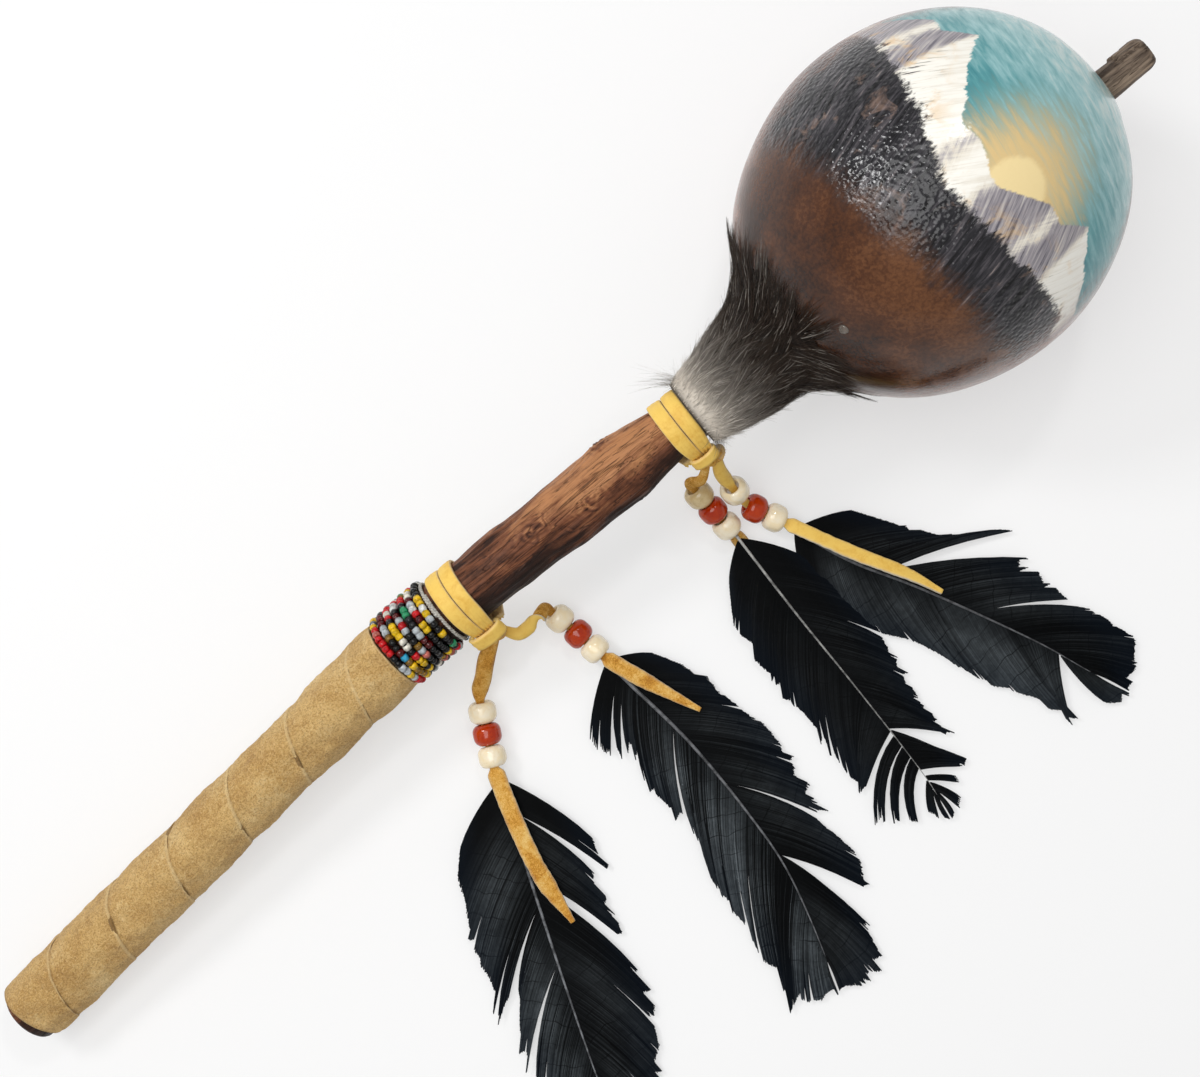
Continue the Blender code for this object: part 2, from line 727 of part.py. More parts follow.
def lace_width(distance, length, bead_start, bead_stop):
    to_beads = max(bead_start - distance, distance - bead_stop, 0.0)
    narrow = lace_in_bead_width()
    width = narrow + (LACE_WIDTH - narrow) * ramp(to_beads / LACE_FLARE)
    from_knot = ramp(distance / LACE_KNOT_FLARE) * (LACE_WIDTH - LACE_IN_KNOT_WIDTH)
    tip = LACE_TIP_WIDTH + (LACE_WIDTH - LACE_TIP_WIDTH) * (length - distance) / LACE_TIP_TAPER
    return min(width, LACE_IN_KNOT_WIDTH + from_knot, tip)


def lace_rings(route, bead_start, bead_stop, last_bead, inset):
    count = round(route.length / LACE_STEP)
    stops = [route.length * i / count for i in range(count + 1)]
    directions = [route.direction(d) for d in stops]
    rings = []
    for d, direction, normal in zip(stops, directions, carried_normals(directions)):
        side = direction.cross(normal)
        offset = inset * ramp((d - last_bead + 1.5 * BEAD_LENGTH) / BEAD_LENGTH)
        middle = route.at(d) + normal * offset
        across = side * (0.5 * lace_width(d, route.length, bead_start, bead_stop))
        thick = normal * (0.5 * LACE_THICKNESS)
        rings.append([middle - across - thick, middle + across - thick,
                      middle + across + thick, middle - across + thick])
    return rings


def bead_rings():
    """Turned barrel with a plain bore, its axis along Z."""
    half = 0.5 * BEAD_LENGTH
    side = [(BEAD_BORE_RADIUS, BEAD_BORE_LIP * half)]
    side += [(BEAD_RADIUS * out, half * up) for out, up in BEAD_PROFILE]
    profile = [(radius, -height) for radius, height in side] + side[::-1]
    rings = []
    for radius, height in profile:
        ring = []
        for k in range(BEAD_SIDES):
            angle = 2.0 * math.pi * (k + 0.5) / BEAD_SIDES
            ring.append(Vector((radius * math.cos(angle), radius * math.sin(angle), height)))
        rings.append(ring)
    return rings


def vane_share(share):
    """Width of the vane along the rachis: bare quill, full middle, round tip."""
    base = ramp((share - BARE_QUILL) / VANE_RISE)
    closing = ramp((share - VANE_ROUND_FROM) / (1.0 - VANE_ROUND_FROM))
    tip = math.sqrt(max(0.0, 1.0 - closing ** 2))
    return base * (VANE_TIP + (1.0 - VANE_TIP) * tip)


def split_factor(share, splits):
    factor = 1.0
    for place, depth in splits:
        opening = max(0.0, 1.0 - abs(share - place) / SPLIT_HALF_WIDTH)
        factor *= 1.0 - depth * opening
    return factor


def feather_rings(route, left_width, right_width, left_splits, right_splits):
    """Cross sections along the barbs: two vane edges and a rachis that tapers to the tip."""
    shares = [i / VANE_STATIONS for i in range(VANE_STATIONS + 1)]
    for place, _ in (*left_splits, *right_splits):
        shares += [place - SPLIT_HALF_WIDTH, place, place + SPLIT_HALF_WIDTH]
    barb = math.radians(BARB_ANGLE)
    rings = []
    for share in sorted(set(shares)):
        d = share * route.length
        middle = route.at(d)
        direction = route.direction(d)
        flat = Vector((direction.x, direction.y, 0.0)).normalized()
        side = Vector((-flat.y, flat.x, 0.0))
        up = side.cross(direction) * -1.0
        thick = QUILL_RADIUS * (1.0 - (1.0 - QUILL_TIP_SHARE) * share)
        half = 0.5 * VANE_EDGE_THICKNESS
        edges = {}
        for sign, width, splits in ((1, left_width, left_splits), (-1, right_width, right_splits)):
            reach = max(thick, width * vane_share(share) * split_factor(share, splits))
            drop = min(VANE_DROP * reach / max(left_width, right_width), middle.z - 2.0 * half)
            lean = flat * (reach * math.cos(barb)) if reach > thick else Vector()
            span = side * (sign * (reach * math.sin(barb) if reach > thick else thick))
            edges[sign] = middle + lean + span - up * drop
        rings.append([
            edges[1] + up * half, middle + side * thick + up * (0.5 * thick), middle + up * thick,
            middle - side * thick + up * (0.5 * thick), edges[-1] + up * half,
            edges[-1] - up * half, middle - up * thick, edges[1] - up * half,
        ])
    return rings


def local_mesh(name, rings, origin):
    return loft_mesh(name, [[point - origin for point in ring] for ring in rings])


def make_tassel(name, plan, tie_ground, leaving, bead_meshes, materials):
    """Lace, three beads and a feather that swing together about the knot."""
    points = [tie_ground + Vector(point) * MM for point in plan["lace"]]
    vane = [tie_ground + Vector(point) * MM for point in plan["rachis"]]
    beads_from = plan["first_bead"]
    onward = vane[0] - points[beads_from]
    onward.z = 0.0
    onward = onward.normalized() * (2.0 * (BEAD_LENGTH + BEAD_GAP - CHOSEN_BEAD_STEP))
    for i in range(beads_from, len(points)):
        points[i] += onward * min((i - beads_from) / (plan["last_bead"] - beads_from), 1.0)
    route = Route([*leaving, *points])
    pivot = route.at(LACE_PIVOT_DEPTH)
    hinge = add_empty(f"{name}_swing", pivot)
    first = route.to_point(beads_from + len(leaving))
    second = first + BEAD_LENGTH + BEAD_GAP + plan["first_gap"]
    third = second + BEAD_LENGTH + BEAD_GAP
    for number, place in enumerate((first, second, third), start=1):
        colour = "red_glass" if number == 2 else "cream_glass"
        bead = add_object(f"{name}_bead_{number}", bead_meshes[colour], materials[colour], hinge)
        bead.location = route.at(place) - pivot
        bead.rotation_mode = "QUATERNION"
        bead.rotation_quaternion = route.direction(place).to_track_quat("Z", "X")

    sign = 1.0 if plan["lace_on_top"] else -1.0
    strip = lace_rings(route, first - 0.5 * BEAD_LENGTH, third + 0.5 * BEAD_LENGTH, third,
                       sign * LACE_INSET)
    add_object(f"{name}_lace", local_mesh(f"{name}_lace", strip, pivot),
               materials["yellow_leather"], hinge)

    bead_axis = route.direction(third)
    bead_up = Vector((0.0, 0.0, 1.0))
    bead_up = (bead_up - bead_axis * bead_up.dot(bead_axis)).normalized()
    quill_shift = bead_up * (-sign * QUILL_INSET)
    seat = route.at(third) + quill_shift
    out = bead_axis * ((0.5 + QUILL_PAST_BEAD) * BEAD_LENGTH)
    quill = [seat - bead_axis * (QUILL_IN_BEAD * BEAD_LENGTH), seat + out]
    vane = [point + onward for point in vane]
    ahead = [point for point in vane if (point - seat - out).dot(bead_axis) > QUILL_RADIUS]
    rachis = Route(quill + ahead)
    rings = feather_rings(rachis, plan["left_width"] * MM, plan["right_width"] * MM,
                          plan["left_splits"], plan["right_splits"])
    add_object(f"{name}_feather", local_mesh(f"{name}_feather", rings, pivot),
               materials["black_feather"], hinge)
    print(f"{name} pivot", [round(value, 5) for value in pivot], f"lace {route.length / MM:.1f} mm",
          f"feather {rachis.length / MM:.1f} mm")


# Resting on the table

def lowest(objects, turn):
    return min((turn @ vert.co).z for obj in objects for vert in obj.data.vertices)


def resting_tilt(gourd, grip):
    """Angle at which the gourd and the end of the grip touch the table together."""
    low = 0.0
    high = math.radians(20.0)
    for _ in range(40):
        tilt = 0.5 * (low + high)
        turn = Matrix.Rotation(-tilt, 3, "Y")
        if lowest([gourd], turn) < lowest([grip], turn):
            low = tilt
        else:
            high = tilt
    return 0.5 * (low + high)


def rest_on_table(base, objects, tilt):
    """Tilt the rattle, stand it on the table and centre its box on the origin."""
    turn = Matrix.Rotation(-tilt, 3, "Y")
    points = [turn @ vert.co for obj in objects for vert in obj.data.vertices]
    middle_x = 0.5 * (min(p.x for p in points) + max(p.x for p in points))
    middle_y = 0.5 * (min(p.y for p in points) + max(p.y for p in points))
    base.rotation_euler = (0.0, -tilt, 0.0)
    base.location = (-middle_x, -middle_y, -min(p.z for p in points))
    return Matrix.Translation(base.location) @ turn.to_4x4()


def main():
    clear_scene()
    materials = {name: make_material(name) for name in FINISHES}
    base = add_empty("rattle", (0.0, 0.0, 0.0))
    leather = materials["yellow_leather"]
    stick = make_stick(base, materials["branch_bark"])
    grip = make_handle_wrap(base, materials["suede"])
    gourd = make_gourd_shell(base, materials["gourd_paint"])
    held = [stick, grip, gourd]
    held.append(make_bead_wrap(base, materials["seed_bead_glass"]))
    held.append(make_fur_collar(base, materials["fur"]))
    ties = {"lower": LOWER_TIE_AT, "upper": UPPER_TIE_AT}
    for tie, tie_at in ties.items():
        first_side = 1 if tie == "lower" else -1
        held.append(make_tie_band(f"{tie}_tie_band", tie_at, first_side, base, leather))
        held.append(make_tie_knot(f"{tie}_tie_knot", tie_at, base, leather))
    tilt = resting_tilt(gourd, grip)
    to_world = rest_on_table(base, held, tilt)
    make_seeds(base, tilt, materials["seed"])
    axis_point = to_world @ (centre(GOURD_AT) + Vector((0.0, GOURD_OFFSET, 0.0)))
    print("tilt", round(math.degrees(tilt), 4), "gourd axis", [round(v, 5) for v in axis_point])

    bead_meshes = {}
    for colour in ("cream_glass", "red_glass"):
        bead_meshes[colour] = loft_mesh(f"bead_{colour}", bead_rings(), ring_to_ring_loop=True)
    for name, plan in TASSELS.items():
        tie_at = ties[plan["tie"]]
        middle, length_axis, width_axis = knot_frame(tie_at)
        end = middle + length_axis * (0.5 * KNOT_LENGTH + LACE_GAP)
        end += Vector((plan["side"] * LACE_EXIT_SPREAD, 0.0, 0.0))
        leaving = [to_world @ end, to_world @ (end + length_axis * LACE_LEAD)]
        ground = to_world @ centre(tie_at)
        ground.z = 0.0
        make_tassel(name, plan, ground, leaving, bead_meshes, materials)


main()
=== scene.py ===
import json
import math

import bpy
import numpy as np
from mathutils import Matrix, Vector


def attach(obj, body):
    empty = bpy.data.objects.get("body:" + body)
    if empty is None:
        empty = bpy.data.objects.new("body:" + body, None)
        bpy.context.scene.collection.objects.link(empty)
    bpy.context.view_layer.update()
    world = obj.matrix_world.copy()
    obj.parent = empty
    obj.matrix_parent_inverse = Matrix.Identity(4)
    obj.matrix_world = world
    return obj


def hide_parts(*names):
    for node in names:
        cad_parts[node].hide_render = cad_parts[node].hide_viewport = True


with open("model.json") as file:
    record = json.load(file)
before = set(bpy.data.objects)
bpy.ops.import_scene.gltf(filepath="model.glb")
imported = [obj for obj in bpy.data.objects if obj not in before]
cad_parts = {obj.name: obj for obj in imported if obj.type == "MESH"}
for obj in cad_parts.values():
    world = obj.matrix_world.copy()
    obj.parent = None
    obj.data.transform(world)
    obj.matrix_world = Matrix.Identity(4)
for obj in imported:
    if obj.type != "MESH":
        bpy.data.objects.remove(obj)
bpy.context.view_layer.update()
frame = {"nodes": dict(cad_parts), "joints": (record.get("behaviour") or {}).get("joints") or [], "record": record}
scene = bpy.context.scene
print("frame loaded")

# camera straight above the table, turned so that the rattle points to the upper right
view = dict(place=(0.0120, -0.0165, 0.600), turn=-38.3, lens=56.97, sensor=36.0)
cameraData = bpy.data.cameras.new("camera")
cameraData.lens = view["lens"]
cameraData.sensor_width = view["sensor"]
cameraData.clip_start = 0.01
camera = bpy.data.objects.new("camera", cameraData)
camera.location = view["place"]
camera.rotation_euler = (0.0, 0.0, math.radians(view["turn"]))
scene.collection.objects.link(camera)
scene.camera = camera

# where the branch's butt lies, and how far the branch tilts up towards the gourd
seedJoint = next(joint for joint in frame["joints"] if joint["name"] == "seed_1_roll")
buttPoint = Vector(frame["record"]["mounts"][0]["pos_m"])
tilt = math.atan2(seedJoint["axis"][2], seedJoint["axis"][0])
toWorld = Matrix.Translation(buttPoint) @ Matrix.Rotation(-tilt, 4, "Y")
fromWorld = toWorld.inverted()
worldTurn = np.array(toWorld.to_3x3())
worldShift = np.array(toWorld.translation)


# small helpers for shapes

def ease(t):
    t = np.clip(t, 0.0, 1.0)
    return t * t * (3.0 - 2.0 * t)


def unit(vectors):
    return vectors / np.maximum(np.linalg.norm(vectors, axis=-1, keepdims=True), 1e-9)


def onTable(points):
    return np.asarray(points) @ worldTurn.T + worldShift


def unevenness(points, size, seed, waves=16):
    # a few waves of random direction, about as long as size, from about -1 to 1
    draw = np.random.default_rng(seed)
    turns = draw.normal(size=(waves, 3)) * math.pi / np.asarray(size, float)
    phases = draw.uniform(0.0, 2.0 * math.pi, waves)
    return np.sin(points @ turns.T + phases).sum(axis=-1) / math.sqrt(waves)


def spread(values, table):
    # value along a row of (place, value) pairs
    places, levels = zip(*table)
    return np.interp(values, places, levels)


def makeMesh(name, points, faces, smooth=True):
    mesh = bpy.data.meshes.new(name)
    mesh.from_pydata(np.asarray(points).reshape(-1, 3).tolist(), [], faces)
    mesh.update()
    mesh.calc_loop_triangles()
    corners = np.array([t.vertices for t in mesh.loop_triangles])
    a, b, c = (np.asarray(points).reshape(-1, 3)[corners[:, i]] for i in range(3))
    if np.einsum("ij,ij->i", a, np.cross(b, c)).sum() < 0.0:
        mesh.flip_normals()
    mesh.polygons.foreach_set("use_smooth", np.full(len(mesh.polygons), smooth))
    return mesh


def loft(name, rings, ringLoop=False, smooth=True, openEnd=False):
    # skin over a row of closed rings, with flat ends unless the row closes on itself or is left open
    rings = np.asarray(rings)
    rows, count = rings.shape[:2]
    index = np.arange(rows * count).reshape(rows, count)
    ahead = np.roll(index, -1, axis=0) if ringLoop else index[1:]
    near = index if ringLoop else index[:-1]
    quads = np.stack([near, np.roll(near, -1, 1), np.roll(ahead, -1, 1), ahead], axis=-1)
    faces = quads.reshape(-1, 4).tolist()
    if not ringLoop:
        faces += [index[0][::-1].tolist(), index[-1].tolist()][:1 if openEnd else 2]
    return makeMesh(name, rings, faces, smooth)


def spin(profile, sides):
    # rings of (radius, height) pairs turned about Z
    profile = np.asarray(profile)
    turn = np.linspace(0.0, 2.0 * math.pi, sides, endpoint=False)
    return np.stack([profile[:, :1] * np.cos(turn), profile[:, :1] * np.sin(turn),
                     np.repeat(profile[:, 1:], sides, axis=1)], axis=-1)


def tube(name, path, radius, sides, smooth=True):
    # round rod along a path, with a radius for each of its points
    path = np.asarray(path)
    run = unit(np.gradient(path, axis=0))
    side = unit(np.cross(run, (0.123, 0.331, 0.936)))
    out = np.cross(side, run)
    turn = np.linspace(0.0, 2.0 * math.pi, sides, endpoint=False)
    ring = side[:, None] * np.cos(turn)[None, :, None] + out[:, None] * np.sin(turn)[None, :, None]
    return loft(name, path[:, None] + ring * np.broadcast_to(radius, len(path))[:, None, None], smooth=smooth)


def mark(mesh, name, values):
    # per-point number, vector or colour for a material or a tree to read
    values = np.asarray(values, float)
    if values.ndim == 1:
        mesh.attributes.new(name, "FLOAT", "POINT").data.foreach_set("value", values)
    elif values.shape[1] == 4:
        mesh.attributes.new(name, "FLOAT_COLOR", "POINT").data.foreach_set("color", values.ravel())
    else:
        mesh.attributes.new(name, "FLOAT_VECTOR", "POINT").data.foreach_set("vector", values.ravel())


def addPiece(name, mesh, material, body, slotName, *nodes):
    if material:
        mesh.materials.append(material)
    piece = bpy.data.objects.new(name, mesh)
    scene.collection.objects.link(piece)
    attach(piece, body)
    if nodes:
        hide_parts(*nodes)
    return piece


class Route:
    # smooth curve through points, read by distance from its start
    def __init__(self, points, perSpan=16):
        points = np.asarray(points, float)
        ends = np.vstack([2.0 * points[:1] - points[1:2], points, 2.0 * points[-1:] - points[-2:-1]])
        t = (np.arange(1, perSpan + 1) / perSpan)[:, None]
        rows = [points[:1]]
        for a, b, c, d in zip(ends, ends[1:], ends[2:], ends[3:]):
            bend = 2.0 * b + (c - a) * t + (2.0 * a - 5.0 * b + 4.0 * c - d) * t ** 2
            rows.append(0.5 * (bend + (3.0 * b - a - 3.0 * c + d) * t ** 3))
        self.points = np.vstack(rows)
        steps = np.linalg.norm(np.diff(self.points, axis=0), axis=1)
        self.reach = np.concatenate([[0.0], np.cumsum(steps)])
        self.length = self.reach[-1]
        self.perSpan = perSpan

    def at(self, distance):
        return np.stack([np.interp(distance, self.reach, axis) for axis in self.points.T], axis=-1)

    def heading(self, distance, step=0.0008):
        return unit(self.at(np.asarray(distance) + step) - self.at(np.asarray(distance) - step))


# small helpers for materials

def paint(code):
    # linear colour from a hex code
    levels = [int(code[i:i + 2], 16) / 255.0 for i in (0, 2, 4)]
    return tuple(c / 12.92 if c <= 0.04045 else ((c + 0.055) / 1.055) ** 2.4 for c in levels)


class Field:
    # one socket's value in a tree, for plain arithmetic
    def __init__(self, nodes, socket):
        self.nodes = nodes
        self.socket = socket

    def __add__(self, other):
        return self.nodes.calc("ADD", self, other)

    def __sub__(self, other):
        return self.nodes.calc("SUBTRACT", self, other)

    def __rsub__(self, other):
        return self.nodes.calc("SUBTRACT", other, self)

    def __mul__(self, other):
        return self.nodes.calc("MULTIPLY", self, other)

    def __pow__(self, other):
        return self.nodes.calc("POWER", self, other)

    def __abs__(self):
        return self.nodes.calc("ABSOLUTE", self)


class Nodes:
    # short ways to fill one tree; a colour may be given as a hex code
    def __init__(self, tree):
        self.tree = tree

    def feed(self, socket, value):
        if isinstance(value, Field):
            self.tree.links.new(value.socket, socket)
        elif socket.type == "RGBA":
            socket.default_value = (*(paint(value) if isinstance(value, str) else value), 1.0)
        else:
            socket.default_value = value

    def add(self, kind, sockets=None, out=0, **settings):
        # gives one output, or all of them by name if out is None
        made = self.tree.nodes.new(kind)
        for key, value in settings.items():
            setattr(made, key, value)
        for key, value in (sockets or {}).items():
            self.feed(made.inputs[key], value)
        if out is None:
            return {socket.name: Field(self, socket) for socket in made.outputs}
        return Field(self, made.outputs[out])

    def calc(self, operation, *values):
        return self.add("ShaderNodeMath", dict(enumerate(values)), operation=operation)

    def remap(self, value, low, high, toLow=0.0, toHigh=1.0, kind="SMOOTHSTEP"):
        values = dict(enumerate((value, low, high, toLow, toHigh)))
        return self.add("ShaderNodeMapRange", values, interpolation_type=kind)

    def mix(self, factor, a, b, mode="MIX"):
        return self.add("ShaderNodeMix", {0: factor, 6: a, 7: b}, 2, data_type="RGBA", blend_type=mode)

    def noise(self, where, scale, detail=3.0, rough=0.5, twist=0.0):
        return self.add("ShaderNodeTexNoise", {"Vector": where, "Scale": scale, "Detail": detail,
                                               "Roughness": rough, "Distortion": twist}, "Fac")

    def pebbles(self, where, scale):
        return self.add("ShaderNodeTexVoronoi", {"Vector": where, "Scale": scale}, "Distance",
                        feature="SMOOTH_F1")

    def placed(self, where, shift=(0, 0, 0), turn=(0, 0, 0), scale=(1, 1, 1)):
        return self.add("ShaderNodeMapping", {"Vector": where, "Location": shift, "Rotation": turn,
                                              "Scale": scale})

    def split(self, vector):
        return self.add("ShaderNodeSeparateXYZ", {"Vector": vector}, None)

    def shades(self, factor, *stops):
        field = self.add("ShaderNodeValToRGB", {"Fac": factor})
        elements = field.socket.node.color_ramp.elements
        while len(elements) < len(stops):
            elements.new(0.5)
        for element, (place, code) in zip(elements, stops):
            element.position = place
            element.color = (*paint(code), 1.0)
        return field

    def read(self, name, out="Fac"):
        return self.add("ShaderNodeAttribute", out=out, attribute_name=name)

    def bump(self, height, strength, depth):
        return self.add("ShaderNodeBump", {"Height": height, "Strength": strength, "Distance": depth})

    def use(self, group, **sockets):
        return self.add("ShaderNodeGroup", sockets, None, node_tree=group)


class Finish(Nodes):
    # a material with its shader and its object coordinates
    def __init__(self, name, **fixed):
        self.material = bpy.data.materials.new(name)
        self.material.use_nodes = True
        super().__init__(self.material.node_tree)
        self.shader = self.tree.nodes["Principled BSDF"]
        self.where = self.add("ShaderNodeTexCoord", out="Object")
        self.set(**fixed)

    def set(self, **sockets):
        for key, value in sockets.items():
            self.feed(self.shader.inputs[key.replace("_", " ")], value)
        return self.material


class Group(Nodes):
    # a shared tree; inputs and outputs give each socket's kind, or its kind and value
    def __init__(self, name, inputs, outputs, kind="Shader"):
        super().__init__(bpy.data.node_groups.new(name, f"{kind}NodeTree"))
        for way, sockets in (("INPUT", inputs), ("OUTPUT", outputs)):
            for title, given in sockets.items():
                socketKind, *preset = given if isinstance(given, tuple) else (given,)
                socket = self.tree.interface.new_socket(title, in_out=way,
                                                        socket_type=f"NodeSocket{socketKind}")
                if preset:
                    socket.default_value = preset[0]
        self.given = self.add("NodeGroupInput", out=None)
        self.out = self.tree.nodes.new("NodeGroupOutput").inputs

    def give(self, **values):
        for key, value in values.items():
            self.feed(self.out[key], value)
        return self.tree

    def named(self, name, kind="FLOAT_VECTOR"):
        return self.add("GeometryNodeInputNamedAttribute", {"Name": name}, data_type=kind)


# branch: lengths from the butt, radii, and the bend above the grip
branch = dict(
    length=0.4422, bend=6.1, bendStart=0.150, bendLength=0.042,
    radii=((0.0, 0.0094), (0.115, 0.0088), (0.1635, 0.0094), (0.1890, 0.0094), (0.2480, 0.0101),
           (0.2725, 0.0079), (0.4262, 0.0049), (0.4422, 0.0046)),
    scars=((0.2190, 80.0, 0.0005, 0.0060), (0.2390, 95.0, 0.0004, 0.0045),
           (0.2500, 10.0, 0.0007, 0.0050), (0.2525, 185.0, 0.0006, 0.0045)),
    bareFrom=0.1955, bareTo=0.2665, crown=0.4262, fit=0.0004,
    grain=0.00013, lumps=0.00035, swirl=0.00016, flake=0.0008, sides=112, chamfer=0.0010, roundEnd=0.0030,
    rowSteps=(0.002, 0.00036, 0.002, 0.0004), eyeOval=0.70, eyeReach=0.0030, eyeStep=0.00145, eyeCore=0.0011,
    flakeFrom=0.0065, flakeFacing=25.0, flakeHalf=34.0, shadeFacing=218.0, darkFrom=0.194, darkLength=0.050,
    buttShrink=(0.15, 0.5, 0.82, 0.91, 0.965), tipShrink=(0.99, 0.95, 0.82, 0.45, 0.12), cutTone=0.35,
)


def branchHeading(at):
    return math.radians(branch["bend"]) * (1.0 - ease((at - branch["bendStart"]) / branch["bendLength"]))


centreStep = 0.0005
centreStops = np.arange(0.0, branch["length"] + 2.0 * centreStep, centreStep)
centreTurns = branchHeading(centreStops + 0.5 * centreStep)
centreX = np.concatenate([[0.0], np.cumsum(np.cos(centreTurns) * centreStep)[:-1]])
centreY = np.concatenate([[0.0], np.cumsum(np.sin(centreTurns) * centreStep)[:-1]])


def centre(at):
    at = np.asarray(at, float)
    x = np.interp(at, centreStops, centreX)
    return np.stack([x, np.interp(at, centreStops, centreY), np.zeros_like(x)], axis=-1)


def skin(at, degrees, radius):
    # point beside the branch: 0 degrees is its +Y side, 90 its top, 180 its -Y side
    at, degrees, radius = np.broadcast_arrays(*(np.asarray(v, float) for v in (at, degrees, radius)))
    angle = branchHeading(at)
    turn = np.radians(degrees)
    across = radius * np.cos(turn)
    out = np.stack([-np.sin(angle) * across, np.cos(angle) * across, radius * np.sin(turn)], axis=-1)
    return centre(at) + out


def stickRadius(at):
    at = np.asarray(at, float)
    result = np.full(at.shape, branch["radii"][-1][1])
    for (start, near), (stop, far) in reversed(list(zip(branch["radii"], branch["radii"][1:]))):
        result = np.where(at <= stop, near + (far - near) * ease((at - start) / (stop - start)), result)
    return result


def angleFrom(degrees, direction):
    return (np.asarray(degrees) - direction + 180.0) % 360.0 - 180.0


# tassels: the lace's points from the knot and the rachis's points from the last bead, in millimetres
# on the table below the tie, with heights; flip is where the lace turns over, fold how far it is folded
tassels = dict(
    upper_left=dict(
        tie="upper", side=-1, firstBead=3, firstGap=0.0, onTop=False, fleshUp=True, flip=None, roll=0.0,
        fold=2.1, width=0.0048, taper=0.0125,
        lace=((-4.0, -17.2, 25.0), (-6.4, -16.2, 18.7), (-6.9, -16.6, 14.3), (-6.5, -20.6, 10.9),
              (-6.0, -26.8, 8.1), (-5.5, -33.0, 5.4), (-4.9, -38.6, 2.7), (-4.4, -47.6, 1.0),
              (-4.0, -61.6, 0.8), (-3.6, -79.6, 0.8)),
        rachis=((-5.0, -39.7, 4.6), (-5.3, -69.0, 3.4), (-4.9, -100.5, 2.9), (-5.1, -132.5, 2.5),
                (-6.6, -147.0, 2.2)),
    ),
    upper_right=dict(
        tie="upper", side=1, firstBead=2, firstGap=0.0053, onTop=True, fleshUp=False, flip=None, roll=0.45,
        fold=1.0, width=0.0046, taper=0.0150,
        lace=((2.0, -19.0, 26.0), (2.3, -22.6, 20.5), (2.7, -26.3, 14.8), (3.2, -30.0, 10.0),
              (3.9, -33.0, 7.1), (5.4, -36.0, 6.1), (8.6, -42.2, 5.1), (11.7, -48.2, 5.4),
              (20.1, -64.2, 5.6), (29.5, -80.2, 5.2), (34.6, -91.6, 4.9)),
        rachis=((10.9, -48.2, 3.9), (18.4, -66.5, 3.4), (30.9, -88.0, 3.0), (48.3, -122.0, 2.7),
                (56.9, -142.3, 2.4), (63.5, -150.5, 2.2)),
    ),
    lower_right=dict(
        tie="lower", side=1, firstBead=5, firstGap=0.0004, onTop=True, fleshUp=True, flip=(12.0, 19.0),
        roll=0.0, fold=1.5, width=0.0052, taper=0.0200,
        lace=((6.4, -19.6, 20.2), (11.6, -19.8, 18.6), (15.4, -19.2, 14.5), (17.0, -19.0, 10.0),
              (17.6, -20.2, 7.4), (18.5, -24.0, 5.6), (20.0, -31.2, 4.9), (21.2, -38.0, 4.8),
              (22.4, -43.0, 5.2), (25.8, -51.9, 5.4), (30.0, -61.6, 5.1), (35.3, -73.6, 4.5)),
        rachis=((21.9, -44.0, 3.9), (23.0, -54.0, 3.6), (26.3, -79.8, 3.2), (26.9, -108.4, 2.9),
                (25.2, -131.7, 2.7), (17.6, -160.6, 2.4), (12.2, -170.8, 2.2)),
    ),
    lower_left=dict(
        tie="lower", side=-1, firstBead=4, firstGap=0.0, onTop=True, fleshUp=True, flip=None, roll=0.0,
        fold=1.0, width=0.0056, taper=0.0135,
        lace=((-6.2, -19.4, 18.4), (-11.4, -23.6, 11.6), (-14.6, -25.8, 7.8), (-16.6, -28.0, 5.9),
              (-18.7, -32.0, 4.9), (-21.9, -38.5, 4.7), (-25.0, -44.9, 4.7), (-27.4, -50.4, 5.3),
              (-32.0, -66.0, 5.5), (-35.8, -83.2, 5.1), (-37.1, -101.1, 4.6)),
        rachis=((-27.6, -52.6, 3.9), (-38.6, -80.0, 3.3), (-50.5, -112.0, 2.9), (-62.0, -145.0, 2.6),
                (-69.0, -168.0, 2.2)),
    ),
)

tie = dict(lower=0.1890, upper=0.2725, turns=2, pitch=0.0049, width=0.0047, thickness=0.0010,
           crossing=138.0, knotDrop=22.0, steps=110, pleat=0.00028, pleats=3.5, gather=0.34, narrow=0.26,
           runOff=0.0028)
knot = dict(lean=0.9, length=0.0085, depth=0.0044, standoff=0.0012, facing=132.0, hub=177.0, hubOut=0.0044,
            arch=0.0017, bow=125.0, keeperThick=0.0006, ribs=0.00009, loopHalf=0.0019, loopThick=0.0009,
            loop=(0.00100, 0.00115, 0.00085),
            upper=dict(long=0.0038, half=0.0017, shift=(0.0018, -0.0016, -0.0004)),
            lower=dict(long=0.0050, half=0.0024, shift=(0.0003, -0.0018, -0.0004)))
lace = dict(thickness=0.0011, inKnot=0.0026, tip=0.0016, flare=0.0050, flapFlare=0.0024,
            knotFlare=0.0110, pairGap=0.0014, lead=0.0028, gap=0.0010, insideKnot=0.0028,
            inBead=0.0027, step=0.0006, inset=0.00075, look=0.0050, sway=0.10, swayRate=160.0, swayIn=0.02,
            ragged=0.03, raggedSize=0.0020, foldIn=0.003, foldEnd=0.007, foldOut=0.004, lowest=0.0002,
            quillDrop=0.00095, quillClear=0.00075)
crowBead = dict(radius=0.0045, length=0.0066, bore=0.0023, gap=0.0005, sides=48)


